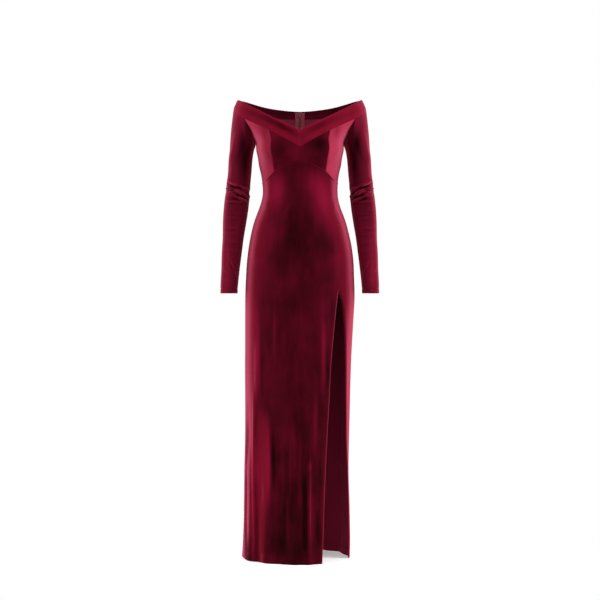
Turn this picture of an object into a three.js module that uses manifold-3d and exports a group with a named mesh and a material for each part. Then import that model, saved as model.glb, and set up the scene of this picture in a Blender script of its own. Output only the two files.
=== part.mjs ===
// Off-the-shoulder maxi gown in stretch velvet, filled out as it hangs when worn.
//
// Millimetres, +Z up, the front faces -Y, the wearer's left is +X. The origin is the centre of the
// body at underarm level, where the gown is held. The hem is level, HEM below it.
// Angles round the body start at the centre front and grow towards +X: 90 degrees is the side,
// 180 the centre back. Angles round an arm start at its front and grow outwards.
// Every panel is a thin wall. Panels that meet share their edge points and one mitre direction,
// and each is trimmed by half a seam gap.

import * as THREE from 'three';
import { mergeVertices } from 'three/addons/utils/BufferGeometryUtils.js';
import Module from 'manifold-3d';

// Driving dimensions
const HEM = -1262;
const CLOTH = 1.8;
const BAND_CLOTH = 3.0;
const HEM_CLOTH = 2.6;
const SEAM_TRIM = 0.17;
const BAND_PUFF = 2.0;
const ARMHOLE_BLEND = 90;
const SLIT_TOP = -446;
const CUFF_END = -456;
const SLEEVE_HEM_DEPTH = 16;
const SKIRT_HEM_DEPTH = 22;
const SAME_POINT = 0.05;
const SMOOTH_SEAM = 0.25;

// Concealed zip: a tape inside each back edge, the closed coil between them, a slider at the top
// whose neck passes through a small notch in the band, and a pull tab that hangs outside.
const ZIP = {
  top: 108, bottom: -300, tapeWidth: 14.5, tapeCloth: 0.9, coilWidth: 3, coilDepth: 1.2,
  gap: 0.35, edge: 0.4, notch: 3.2, coilTop: 92.4,
};
const SLIDER = { top: 105, bottom: 92.8, halfTop: 4, halfBottom: 3.1, depth: 3.4, face: 91 };
const NECK = { half: 0.7, low: 109.4, high: 111.4 };
const PIN = { y: 100, z: 110.4, radius: 0.75, half: 3.1, head: 1.2, headFrom: 2.6 };
const PULL = {
  ear: 1.9, bore: 1.15, earFrom: 1.05, earTo: 2.3, cloth: 1.1, length: 21, halfTop: 2.3,
  halfBottom: 3.1, eye: 1.2,
};

// Rings of the body and skirt: half widths on each side, depth in front and behind, and the
// power of the oval (2 is an ellipse, less is more pointed).
const BODY_RINGS = [
  { z: 112, right: 207, left: 207, front: 90, back: 95, power: 2 },
  { z: 100, right: 205, left: 205, front: 93, back: 96.5, power: 2 },
  { z: 70, right: 195, left: 195, front: 100, back: 98, power: 2 },
  { z: 42, right: 163, left: 163, front: 103, back: 98.5, power: 2 },
  { z: 21, right: 146.5, left: 146.5, front: 105, back: 98.5, power: 2 },
  { z: 0, right: 134.5, left: 134.5, front: 106, back: 98, power: 2 },
  { z: -20, right: 132.5, left: 133.5, front: 106, back: 96, power: 2 },
  { z: -42, right: 128, left: 129, front: 103, back: 93.5, power: 2 },
  { z: -67, right: 124.5, left: 125.5, front: 97, back: 90, power: 2 },
  { z: -91, right: 119, left: 120, front: 91.5, back: 86, power: 2 },
  { z: -116, right: 115, left: 116.5, front: 87.5, back: 82, power: 2 },
  { z: -146, right: 113, left: 115.5, front: 86, back: 80, power: 2 },
  { z: -165, right: 115, left: 117, front: 87, back: 82, power: 2 },
  { z: -189, right: 121.5, left: 122.5, front: 89, back: 86, power: 2 },
  { z: -213, right: 130.5, left: 131.5, front: 91, back: 91.5, power: 2 },
  { z: -238, right: 139.5, left: 140.5, front: 93.5, back: 97.5, power: 2 },
  { z: -262, right: 146, left: 147, front: 95.5, back: 103.5, power: 2 },
  { z: -311, right: 155.5, left: 158, front: 99, back: 114.5, power: 2 },
  { z: -360, right: 161.5, left: 164, front: 101, back: 122, power: 2 },
  { z: -409, right: 164.5, left: 166, front: 102, back: 125, power: 2 },
  { z: -460, right: 166.5, left: 167.5, front: 102.5, back: 125, power: 2 },
  { z: -549, right: 167, left: 163, front: 103, back: 121, power: 2 },
  { z: -659, right: 167, left: 157, front: 104, back: 118, power: 2 },
  { z: -768, right: 166, left: 153.5, front: 106, back: 119, power: 1.96 },
  { z: -878, right: 167, left: 151, front: 109, back: 124, power: 1.92 },
  { z: -988, right: 169.5, left: 149, front: 113, back: 132, power: 1.88 },
  { z: -1098, right: 170.5, left: 152, front: 118, back: 142, power: 1.84 },
  { z: -1208, right: 173.5, left: 154.5, front: 122.5, back: 152, power: 1.8 },
  { z: -1262, right: 176.5, left: 152.5, front: 125, back: 157, power: 1.8 },
];

// Rings of a sleeve: distance of its inner and outer edge from the centre plane, the middle of
// its depth and half its depth.
const ARM_RINGS = [
  { z: 110, inner: 152, outer: 202, middle: 2, depth: 51 },
  { z: 70, inner: 145, outer: 207, middle: 2, depth: 50 },
  { z: 35, inner: 139, outer: 210.5, middle: 1, depth: 49 },
  { z: 0, inner: 134.5, outer: 213, middle: 0, depth: 48 },
  { z: -18, inner: 139.5, outer: 214, middle: 0, depth: 47 },
  { z: -42, inner: 143.5, outer: 217, middle: 1, depth: 46 },
  { z: -91, inner: 148, outer: 220, middle: 3, depth: 44 },
  { z: -140, inner: 152.5, outer: 226, middle: 5, depth: 43 },
  { z: -189, inner: 156, outer: 232, middle: 4, depth: 41.5 },
  { z: -238, inner: 163, outer: 235, middle: 1, depth: 39 },
  { z: -287, inner: 171, outer: 235.5, middle: -4, depth: 36.5 },
  { z: -335, inner: 177, outer: 238, middle: -9, depth: 34 },
  { z: -384, inner: 183, outer: 239, middle: -14, depth: 32 },
  { z: -433, inner: 188, outer: 241.3, middle: -18, depth: 30.5 },
  { z: -456, inner: 189, outer: 241.5, middle: -20, depth: 30.5 },
];

// Bust: a general pair of cups. Reach is how far the cloth stands out at the fullest point.
const BUST = { angle: 37, z: -24, reach: 30, spread: 17.5, above: 46, below: 30 };

// Seam of the band to the bodice in front, then the armhole seam down to the underarm.
const FRONT_NECK_SEAM = [
  { angle: 0, z: -20 },
  { angle: 17.8, z: 6 },
  { angle: 34.3, z: 33 },
  { angle: 46.3, z: 52 },
  { angle: 57.2, z: 70 },
];
const FRONT_ARMHOLE = [
  { angle: 57.2, z: 70 },
  { angle: 64.4, z: 42 },
  { angle: 72.2, z: 21 },
  { angle: 81, z: 6 },
  { angle: 90, z: 0 },
];
const BACK_ARMHOLE = [
  { angle: 90, z: 0 },
  { angle: 101, z: 8 },
  { angle: 112, z: 25 },
  { angle: 127, z: 60 },
  { angle: 133, z: 100 },
];
const BACK_NECK_SEAM = [
  { angle: 133, z: 100 },
  { angle: 140, z: 97.5 },
  { angle: 160, z: 90.5 },
  { angle: 180, z: 88 },
];

// The band on the outer arm, between the two armholes, and the band's folded upper edge:
// bearing seen from above, distance from the body's axis, height.
const BAND_OVER_ARM = [
  { bearing: 80, reach: 192.8, z: 86 },
  { bearing: 90, reach: 203, z: 102 },
  { bearing: 99.5, reach: 195, z: 104 },
  { bearing: 107, reach: 180.5, z: 103 },
];
const BAND_TOP = [
  { bearing: 0, reach: 111, z: 30.5 },
  { bearing: 21.3, reach: 116, z: 52 },
  { bearing: 40.6, reach: 130.5, z: 72 },
  { bearing: 55, reach: 146.5, z: 91 },
  { bearing: 67.5, reach: 162.3, z: 108.5 },
  { bearing: 78.7, reach: 178.5, z: 125 },
  { bearing: 90, reach: 189, z: 135.5 },
  { bearing: 98.8, reach: 183.5, z: 136.5 },
  { bearing: 106.8, reach: 173.4, z: 135.5 },
  { bearing: 116.7, reach: 155.6, z: 129.5 },
  { bearing: 128.3, reach: 133.8, z: 122 },
  { bearing: 153.7, reach: 103.8, z: 114.5 },
  { bearing: 168, reach: 97, z: 112.5 },
  { bearing: 180, reach: 95, z: 111.6 },
];

// Under-bust seam: it arches over the front and runs level round the back.
const WAIST_ARCH = [
  { angle: 0, z: -59.5 },
  { angle: 14, z: -65.5 },
  { angle: 29.5, z: -79.5 },
  { angle: 42, z: -91 },
  { angle: 58.7, z: -106 },
  { angle: 75, z: -114 },
  { angle: 90, z: -116 },
  { angle: 135, z: -116 },
  { angle: 180, z: -116 },
];

// Seam between the centre cup and the side cup.
const CUP_SEAM = [
  { z: 70, angle: 33 },
  { z: 40, angle: 33 },
  { z: 0, angle: 32.6 },
  { z: -45, angle: 34 },
  { z: -83, angle: 39.3 },
  { z: -116, angle: 41 },
];

// Upright edges of the skirt panels: distance from the centre plane of the right front seam and of
// the left front seam, which opens below SLIT_TOP into the slit's inner edge, on the front panel,
// and its outer edge, on the side panel. Then the angles of the two side seams.
const SKIRT_EDGES = [
  { z: -60, princess: 90, slitInner: 90, slitOuter: 90, sideRight: 90, sideLeft: 90 },
  { z: -146, princess: 91.5, slitInner: 91.5, slitOuter: 91.5, sideRight: 90, sideLeft: 90 },
  { z: -255, princess: 96, slitInner: 96, slitOuter: 96, sideRight: 90, sideLeft: 90 },
  { z: -350, princess: 107, slitInner: 107, slitOuter: 107, sideRight: 90, sideLeft: 90 },
  { z: -446, princess: 117, slitInner: 117, slitOuter: 117, sideRight: 90, sideLeft: 90 },
  { z: -487, princess: 120, slitInner: 112.3, slitOuter: 127.3, sideRight: 90, sideLeft: 91 },
  { z: -558, princess: 123, slitInner: 105, slitOuter: 134.3, sideRight: 91, sideLeft: 93 },
  { z: -674, princess: 128, slitInner: 95, slitOuter: 137.9, sideRight: 93, sideLeft: 97 },
  { z: -777, princess: 133, slitInner: 89.7, slitOuter: 139, sideRight: 95, sideLeft: 101 },
  { z: -893, princess: 138, slitInner: 83, slitOuter: 141, sideRight: 98, sideLeft: 105 },
  { z: -1022, princess: 142, slitInner: 77, slitOuter: 146.5, sideRight: 101, sideLeft: 109 },
  { z: -1135, princess: 146, slitInner: 73, slitOuter: 150, sideRight: 103, sideLeft: 113 },
  { z: -1262, princess: 148, slitInner: 68.5, slitOuter: 151, sideRight: 105, sideLeft: 116 },
];

// Soft folds of the skirt. A fold starts at `top` and reaches its full depth at `full`.
// Positive depth is a ridge, negative a trough. Width is half the fold's width in degrees.
const SKIRT_FOLDS = [
  { angle: -58, width: 6, top: -700, full: -1050, depth: 5 },
  { angle: -48, width: 5, top: -760, full: -1100, depth: -5 },
  { angle: -37, width: 5, top: -740, full: -1150, depth: 3.5 },
  { angle: -22, width: 6, top: -800, full: -1200, depth: -3 },
  { angle: -6, width: 6, top: -900, full: -1220, depth: 2 },
  { angle: 3, width: 4, top: -940, full: -1150, depth: -3 },
  { angle: 11, width: 4, top: -930, full: -1120, depth: 4 },
  { angle: 20, width: 4, top: -900, full: -1150, depth: -2.5 },
  { angle: -84, width: 8, top: -620, full: -1100, depth: -4 },
  { angle: -104, width: 8, top: -560, full: -1150, depth: 5 },
  { angle: -122, width: 7, top: -640, full: -1150, depth: -7 },
  { angle: -138, width: 7, top: -560, full: -1100, depth: 7 },
  { angle: -155, width: 7, top: -620, full: -1150, depth: -6 },
  { angle: -171, width: 6, top: -700, full: -1200, depth: 5 },
  { angle: 170, width: 6, top: -640, full: -1150, depth: -5 },
  { angle: 156, width: 6, top: -560, full: -1100, depth: 8 },
  { angle: 142, width: 6, top: -600, full: -1100, depth: -8 },
  { angle: 128, width: 6, top: -540, full: -1050, depth: 7 },
  { angle: 112, width: 6, top: -600, full: -1150, depth: -5 },
];

// Creases of a sleeve, troughs at the bend of the elbow and ridges between them: height at the
// crease's middle, its angle round the arm, half its reach round the arm, its rise over that
// reach, its half width and its depth.
const SLEEVE_CREASES = [
  { z: -124, angle: 30, reach: 70, rise: 10, width: 6, depth: 1.6 },
  { z: -136, angle: 10, reach: 75, rise: -9, width: 6, depth: -2.2 },
  { z: -147, angle: -20, reach: 80, rise: -14, width: 6, depth: 2.2 },
  { z: -158, angle: -40, reach: 70, rise: -12, width: 6, depth: -2.4 },
  { z: -169, angle: -60, reach: 60, rise: -10, width: 6, depth: 1.8 },
  { z: -150, angle: 180, reach: 60, rise: 6, width: 8, depth: -1.4 },
];

// Columns: angles at which the upright mesh lines cross the waist seam, per half
const FRONT_COLUMNS = [0, 7, 14, 21, 28, 33.5];
const BETWEEN_SEAMS = [42.5, 46.5];
const SIDE_COLUMNS = [54.5, 58.5, 62.8, 67, 71.5, 77, 83.5, 90];
const BACK_COLUMNS = [90, 98, 106, 113, 120, 126.5, 133, 141, 149, 157, 165, 173, 180];
const OUTER_ARM_COLUMNS = 12;
const BODICE_ROWS = 9;
const BAND_ROWS = [0, 0.3, 0.6, 0.85, 1];
const YOKE_ROWS = [0, 0.33, 0.66, 1];
const YOKE_END = -130;
const SKIRT_ROWS = [
  -148, -168, -190, -214, -240, -270, -305, -350, -400, SLIT_TOP, -487, -550, -630, -720, -820,
  -920, -1020, -1120, HEM + SKIRT_HEM_DEPTH, HEM,
];
const COIL_END = 6;
const TAPE_STEP = { low: 70, high: 84 };
const CAP_ROWS = [0, 0.15, 0.36, 0.58, 0.8, 1];
const CAP_END = -34;
const SLEEVE_ROWS = [
  -65, -95, -112, -121, -130, -138, -146, -154, -162, -170, -180, -205, -245, -295, -350, -400,
  CUFF_END + SLEEVE_HEM_DEPTH, CUFF_END,
];

const radians = THREE.MathUtils.degToRad;
const smooth = (from, to, at) => THREE.MathUtils.smoothstep(at, from, to);
const bell = (offset) => Math.exp(-0.5 * offset * offset);

// Smooth curve through the rows of a table: every column as a function of the column `key`.
function through(rows, key) {
  const sorted = [...rows].sort((a, b) => a[key] - b[key]);
  const last = sorted.length - 1;
  const chord = (k, column) => (
    (sorted[k + 1][column] - sorted[k][column]) / (sorted[k + 1][key] - sorted[k][key])
  );
  const slope = (k, column) => {
    if (k === 0) return chord(0, column);
    if (k === last) return chord(last - 1, column);
    const before = chord(k - 1, column);
    const after = chord(k, column);
    const limit = 3 * Math.min(Math.abs(before), Math.abs(after));
    const mean = (before + after) / 2;
    return before * after <= 0 ? 0 : Math.sign(mean) * Math.min(Math.abs(mean), limit);
  };
  return (at, column) => {
    let k = 0;
    while (k < last - 1 && at > sorted[k + 1][key]) k += 1;
    const span = sorted[k + 1][key] - sorted[k][key];
    const t = (at - sorted[k][key]) / span;
    if (t <= 0) return sorted[k][column];
    if (t >= 1) return sorted[k + 1][column];
    const rise = sorted[k + 1][column] - sorted[k][column];
    const start = slope(k, column) * span;
    const end = slope(k + 1, column) * span;
    return sorted[k][column]
      + t * (start + t * (3 * rise - 2 * start - end + t * (start + end - 2 * rise)));
  };
}

const bodyRing = through(BODY_RINGS, 'z');
const armRing = through(ARM_RINGS, 'z');
const frontNeck = through(FRONT_NECK_SEAM, 'angle');
const frontArmhole = through(FRONT_ARMHOLE, 'angle');
const backArmhole = through(BACK_ARMHOLE, 'angle');
const backNeck = through(BACK_NECK_SEAM, 'angle');
const waistArch = through(WAIST_ARCH, 'angle');
const cupSeam = through(CUP_SEAM, 'z');
const skirtEdge = through(SKIRT_EDGES, 'z');
const bandTop = through(BAND_TOP, 'bearing');

// How far the cups push the cloth out
function bustReach(angle, z) {
  const rise = z > BUST.z ? BUST.above : BUST.below;
  return BUST.reach * bell((Math.abs(angle) - BUST.angle) / BUST.spread) * bell((z - BUST.z) / rise);
}

// How far the skirt's folds move the cloth
function foldReach(angle, z) {
  return SKIRT_FOLDS.reduce((sum, fold) => {
    const turn = Math.abs(((angle - fold.angle + 540) % 360) - 180);
    return sum + fold.depth * smooth(-fold.top, -fold.full, -z) * bell(turn / fold.width);
  }, 0);
}

// A point of the body's and skirt's outer face, angle in degrees
function bodyPoint(angle, z) {
  const turn = radians(angle);
  const across = Math.sin(turn);
  const along = Math.cos(turn);
  const power = 2 / bodyRing(z, 'power');
  const halfWidth = bodyRing(z, across < 0 ? 'right' : 'left');
  const halfDepth = bodyRing(z, along < 0 ? 'back' : 'front');
  const out = bustReach(angle, z) + foldReach(angle, z);
  return new THREE.Vector3(
    halfWidth * Math.sign(across) * Math.abs(across) ** power + out * across,
    -halfDepth * Math.sign(along) * Math.abs(along) ** power - out * along,
    z,
  );
}

// The angle at which the front of the body lies `distance` to one side of the centre plane
function angleAtDistance(distance, z, side) {
  const share = Math.min(distance / bodyRing(z, side < 0 ? 'right' : 'left'), 1);
  return side * THREE.MathUtils.radToDeg(Math.asin(share ** (bodyRing(z, 'power') / 2)));
}

// How far creases move a sleeve's cloth
function creaseReach(angle, z) {
  return SLEEVE_CREASES.reduce((sum, crease) => {
    const turn = ((angle - crease.angle + 540) % 360) - 180;
    const height = crease.z + crease.rise * (turn / crease.reach);
    return sum + crease.depth * bell((z - height) / crease.width) * bell(turn / (0.6 * crease.reach));
  }, 0);
}

// A point of a sleeve's outer face before it is drawn to the armhole
function armRingPoint(side, angle, z) {
  const turn = radians(angle);
  const inner = armRing(z, 'inner');
  const outer = armRing(z, 'outer');
  const out = creaseReach(angle, z);
  return new THREE.Vector3(
    side * ((inner + outer) / 2 + ((outer - inner) / 2 + out) * Math.sin(turn)),
    armRing(z, 'middle') - (armRing(z, 'depth') + out) * Math.cos(turn),
    z,
  );
}

// Where an upright column, given as angle by height, crosses a seam, given as height by angle
function crossing(columnAngle, seamHeight) {
  let z = 0;
  for (let pass = 0; pass < 60; pass += 1) z = seamHeight(columnAngle(z));
  return { angle: columnAngle(z), z };
}

const frontTop = (angle) => (
  angle <= FRONT_ARMHOLE[0].angle ? frontNeck(angle, 'z') : frontArmhole(angle, 'z')
);
const backTop = (angle) => (
  angle <= BACK_NECK_SEAM[0].angle ? backArmhole(angle, 'z') : backNeck(angle, 'z')
);
const archHeight = (angle) => waistArch(Math.abs(angle), 'z');

// Angle of a column of a bodice cup, `share` of the way between its two upright seams
const centreCupColumn = (share) => (z) => share * cupSeam(z, 'angle');
const sideCupColumn = (share) => (z) => cupSeam(z, 'angle') + share * (90 - cupSeam(z, 'angle'));
const backColumn = (angle) => () => angle;

// Where the seams between the panels cross the waist seam
const cupSeamAtArch = crossing(centreCupColumn(1), archHeight).angle;
const yokeSeamAtArch = (side) => side * crossing(
  (z) => angleAtDistance(skirtEdge(z, 'princess'), z, side), archHeight).angle;

// The column of the side cup that meets both the band and the armhole
const junctionShare = (() => {
  const { angle, z } = FRONT_ARMHOLE[0];
  return (angle - cupSeam(z, 'angle')) / (90 - cupSeam(z, 'angle'));
})();
const junctionAtArch = crossing(sideCupColumn(junctionShare), archHeight).angle;

// Angles of the columns on the waist seam, and their shares of the cup they run up
const centreAngles = [...FRONT_COLUMNS, cupSeamAtArch];
const centreShares = centreAngles.map((angle) => angle / cupSeamAtArch);
const sideAngles = (side) => [
  cupSeamAtArch, ...BETWEEN_SEAMS, yokeSeamAtArch(side),
  ...SIDE_COLUMNS.map((angle) => (Math.abs(angle - junctionAtArch) < 3 ? junctionAtArch : angle)),
];
const sideShares = (side) => sideAngles(side).map((angle) => (
  angle === junctionAtArch ? junctionShare : (angle - cupSeamAtArch) / (90 - cupSeamAtArch)
));

// A wall waiting for its thickness: rows of outer points from top to bottom with their normals
function panel(name, rows, normals, thickness, closed = false) {
  return { name, rows, normals, thickness, closed };
}

// Outward normal of a surface, given as a function of two numbers, by short steps along both
function surfaceNormal(surface, u, v, stepU, stepV, outward) {
  const alongU = surface(u + stepU, v).sub(surface(u - stepU, v));
  const alongV = surface(u, v + stepV).sub(surface(u, v - stepV));
  const normal = alongU.cross(alongV).normalize();
  return normal.dot(outward) < 0 ? normal.negate() : normal;
}

const bodyNormal = (angle, z) => surfaceNormal(
  bodyPoint, angle, z, 0.5, 1,
  new THREE.Vector3(Math.sin(radians(angle)), -Math.cos(radians(angle)), 0),
);

// Panel on the body: columns of { angle, z } from top to bottom
function bodyPanel(name, columns, thickness = () => CLOTH) {
  const rowCount = columns[0].length;
  const pick = (make) => Array.from({ length: rowCount }, (_, i) => columns.map((c) => make(c[i])));
  return panel(
    name,
    pick(({ angle, z }) => bodyPoint(angle, z)),
    pick(({ angle, z }) => bodyNormal(angle, z)),
    (i) => thickness(i, rowCount),
  );
}

// Column of a bodice panel between its top and the waist seam
function bodiceColumn(side, columnAngle, top) {
  const upper = crossing(columnAngle, top);
  const lower = crossing(columnAngle, archHeight);
  return Array.from({ length: BODICE_ROWS + 1 }, (_, i) => {
    const z = upper.z + (lower.z - upper.z) * (i / BODICE_ROWS);
    return { angle: side * columnAngle(z), z };
  });
}

function bodicePanels(side, word) {
  return [
    bodyPanel(`cup_centre_${word}`, centreShares.map((share) => (
      bodiceColumn(side, centreCupColumn(share), frontTop)))),
    bodyPanel(`cup_side_${word}`, sideShares(side).map((share) => (
      bodiceColumn(side, sideCupColumn(share), frontTop)))),
    bodyPanel(`bodice_back_${word}`, BACK_COLUMNS.map((angle) => (
      bodiceColumn(side, backColumn(angle), backTop)))),
  ];
}

// Skirt panel between two upright edges, each an angle by height, with columns that start from
// the given angles on the waist seam
function skirtPanel(name, startAngles, edgeA, edgeB) {
  const columns = startAngles.map((start) => {
    const top = archHeight(start);
    const share = (start - edgeA(top)) / (edgeB(top) - edgeA(top));
    const angleAt = (z) => edgeA(z) + share * (edgeB(z) - edgeA(z));
    const yoke = YOKE_ROWS.map((part) => top + (YOKE_END - top) * part);
    return [...yoke, ...SKIRT_ROWS].map((z) => ({ angle: angleAt(z), z }));
  });
  const hemRows = 2;
  return bodyPanel(name, columns, (i, count) => (i >= count - hemRows ? HEM_CLOTH : CLOTH));
}

function skirtPanels() {
  const princess = (z) => angleAtDistance(skirtEdge(z, 'princess'), z, -1);
  const slitEdge = (column) => (z) => (
    angleAtDistance(skirtEdge(z, z < SLIT_TOP ? column : 'princess'), z, 1));
  const slitInner = slitEdge('slitInner');
  const slitOuter = slitEdge('slitOuter');
  const sideRight = (z) => -skirtEdge(z, 'sideRight');
  const sideLeft = (z) => skirtEdge(z, 'sideLeft');
  const yokeEnd = BETWEEN_SEAMS.length + 1;
  const centreHalf = (side) => [...centreAngles, ...sideAngles(side).slice(1, yokeEnd + 1)];
  const sideHalf = (side) => sideAngles(side).slice(yokeEnd);
  const mirrored = (angles) => angles.map((angle) => -angle).reverse();
  return [
    skirtPanel('skirt_front_centre', [...mirrored(centreHalf(-1)), ...centreHalf(1).slice(1)],
      princess, slitInner),
    skirtPanel('skirt_front_side_right', mirrored(sideHalf(-1)), sideRight, princess),
    skirtPanel('skirt_front_side_left', sideHalf(1), slitOuter, sideLeft),
    skirtPanel('skirt_back_right', mirrored(BACK_COLUMNS), () => -180, sideRight),
    skirtPanel('skirt_back_left', BACK_COLUMNS, sideLeft, () => 180),
  ];
}

const bearingOf = (point) => THREE.MathUtils.radToDeg(Math.atan2(Math.abs(point.x), -point.y));
const reachOf = (point) => Math.hypot(point.x, point.y);

// Seam points of one side, from the centre front over the arm to the centre back
function neckStations(side) {
  const shares = sideShares(side);
  const front = [
    ...centreShares.map((share) => crossing(centreCupColumn(share), frontTop)),
    ...shares.slice(1, shares.indexOf(junctionShare) + 1)
      .map((share) => crossing(sideCupColumn(share), frontTop)),
  ].map(({ angle, z }) => bodyPoint(side * angle, z));
  const back = BACK_COLUMNS.filter((angle) => angle >= BACK_NECK_SEAM[0].angle)
    .map((angle) => bodyPoint(side * angle, backTop(angle)));
  const joins = [front[front.length - 1], back[0]].map((point) => (
    { bearing: bearingOf(point), reach: reachOf(point), z: point.z }));
  const overArm = through([joins[0], ...BAND_OVER_ARM, joins[1]], 'bearing');
  const outer = Array.from({ length: OUTER_ARM_COLUMNS - 1 }, (_, k) => {
    const part = (k + 1) / OUTER_ARM_COLUMNS;
    const bearing = THREE.MathUtils.lerp(joins[0].bearing, joins[1].bearing, part);
    return polarPoint(side, bearing, overArm(bearing, 'reach'), overArm(bearing, 'z'));
  });
  return { front, outer, back };
}

function polarPoint(side, bearing, reach, z) {
  const turn = radians(bearing);
  return new THREE.Vector3(side * reach * Math.sin(turn), -reach * Math.cos(turn), z);
}

// The folded band of one side, from the centre front round the arm to the centre back
function bandPanel(side, word) {
  const { front, outer, back } = neckStations(side);
  const low = [...front, ...outer, ...back];
  const high = low.map((point) => {
    const bearing = bearingOf(point);
    return polarPoint(side, bearing, bandTop(bearing, 'reach'), bandTop(bearing, 'z'));
  });
  const normalAt = (k) => {
    const before = low[Math.max(k - 1, 0)];
    const after = low[Math.min(k + 1, low.length - 1)];
    const normal = after.clone().sub(before).cross(high[k].clone().sub(low[k])).normalize();
    const outward = new THREE.Vector3(low[k].x, low[k].y, 0);
    if (k === 0 || k === low.length - 1) normal.setX(0).normalize();
    return normal.dot(outward) < 0 ? normal.negate() : normal;
  };
  const flat = low.map((_, k) => normalAt(k));
  const rows = [...BAND_ROWS].reverse().map((part) => low.map((point, k) => (
    point.clone().lerp(high[k], part).addScaledVector(flat[k], BAND_PUFF * Math.sin(Math.PI * part)))));
  const band = panel(`band_${word}`, rows, rows.map(() => flat.map((n) => n.clone())),
    () => BAND_CLOTH);
  band.notch = ZIP.notch;
  return band;
}

// One sleeve: a tube from the band and the armhole seam down to its hem
function sleevePanel(side, word) {
  const { front, outer, back } = neckStations(side);
  const backSeam = BACK_COLUMNS.filter((angle) => angle < BACK_NECK_SEAM[0].angle).reverse()
    .map((angle) => bodyPoint(side * angle, backTop(angle)));
  const shares = sideShares(side);
  const frontSeam = shares.slice(shares.indexOf(junctionShare) + 1, -1).reverse()
    .map((share) => crossing(sideCupColumn(share), frontTop))
    .map(({ angle, z }) => bodyPoint(side * angle, z));
  const loop = [front[front.length - 1], ...outer, back[0], ...backSeam, ...frontSeam];
  const columns = loop.map((point) => {
    const middle = (armRing(point.z, 'inner') + armRing(point.z, 'outer')) / 2;
    const halfWidth = (armRing(point.z, 'outer') - armRing(point.z, 'inner')) / 2;
    const across = (side * point.x - middle) / halfWidth;
    const along = (armRing(point.z, 'middle') - point.y) / armRing(point.z, 'depth');
    const angle = THREE.MathUtils.radToDeg(Math.atan2(across, along));
    const pull = point.clone().sub(armRingPoint(side, angle, point.z));
    return { top: point.z, angle, pull };
  });
  const surface = (column, angle, z) => armRingPoint(side, angle, z).addScaledVector(
    column.pull, 1 - smooth(0, ARMHOLE_BLEND, column.top - z));
  const heights = (column) => [
    ...CAP_ROWS.map((part) => column.top + (CAP_END - column.top) * part), ...SLEEVE_ROWS,
  ];
  const rowCount = CAP_ROWS.length + SLEEVE_ROWS.length;
  const rows = Array.from({ length: rowCount }, (_, i) => (
    columns.map((column) => surface(column, column.angle, heights(column)[i]))));
  const normals = rows.map((row, i) => row.map((point, j) => {
    const next = row[(j + 1) % row.length];
    const previous = row[(j + row.length - 1) % row.length];
    const above = rows[Math.max(i - 1, 0)][j];
    const below = rows[Math.min(i + 1, rowCount - 1)][j];
    const normal = next.clone().sub(previous).cross(below.clone().sub(above)).normalize();
    const across = (armRing(point.z, 'inner') + armRing(point.z, 'outer')) / 2;
    const axis = new THREE.Vector3(side * across, armRing(point.z, 'middle'), point.z);
    return normal.dot(point.clone().sub(axis)) < 0 ? normal.negate() : normal;
  }));
  return panel(`sleeve_${word}`, rows, normals,
    (i) => (i >= rowCount - 2 ? HEM_CLOTH : CLOTH), true);
}

// Panels that meet share one offset direction where they run on smoothly, and sink a little
// behind their seam where they meet in a fold
function mitreEdges(panels) {
  const edges = panels.flatMap((wall) => wall.rows.flatMap((row, i) => row.flatMap((point, j) => {
    const onEnd = i === 0 || i === wall.rows.length - 1;
    const onSide = !wall.closed && (j === 0 || j === row.length - 1);
    return onEnd || onSide ? [{ wall, i, j, point, own: wall.normals[i][j].clone() }] : [];
  })));
  wallSinks(panels);
  edges.forEach((edge) => {
    const mates = edges.filter((other) => (
      other.wall !== edge.wall && other.point.distanceToSquared(edge.point) < SAME_POINT ** 2));
    if (mates.length === 0) return;
    const smoothMates = mates.filter((other) => other.own.dot(edge.own) > SMOOTH_SEAM);
    const shared = smoothMates.reduce((sum, other) => sum.add(other.own), edge.own.clone());
    edge.wall.normals[edge.i][edge.j] = shared.normalize();
    const turn = Math.min(...mates.map((other) => other.own.dot(edge.own)));
    if (turn <= SMOOTH_SEAM) edge.wall.sinks[edge.i][edge.j] = SEAM_TRIM * Math.sqrt((1 - turn) / 2);
  });
}

function wallSinks(panels) {
  panels.forEach((wall) => { wall.sinks = wall.rows.map((row) => row.map(() => 0)); });
}

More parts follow.
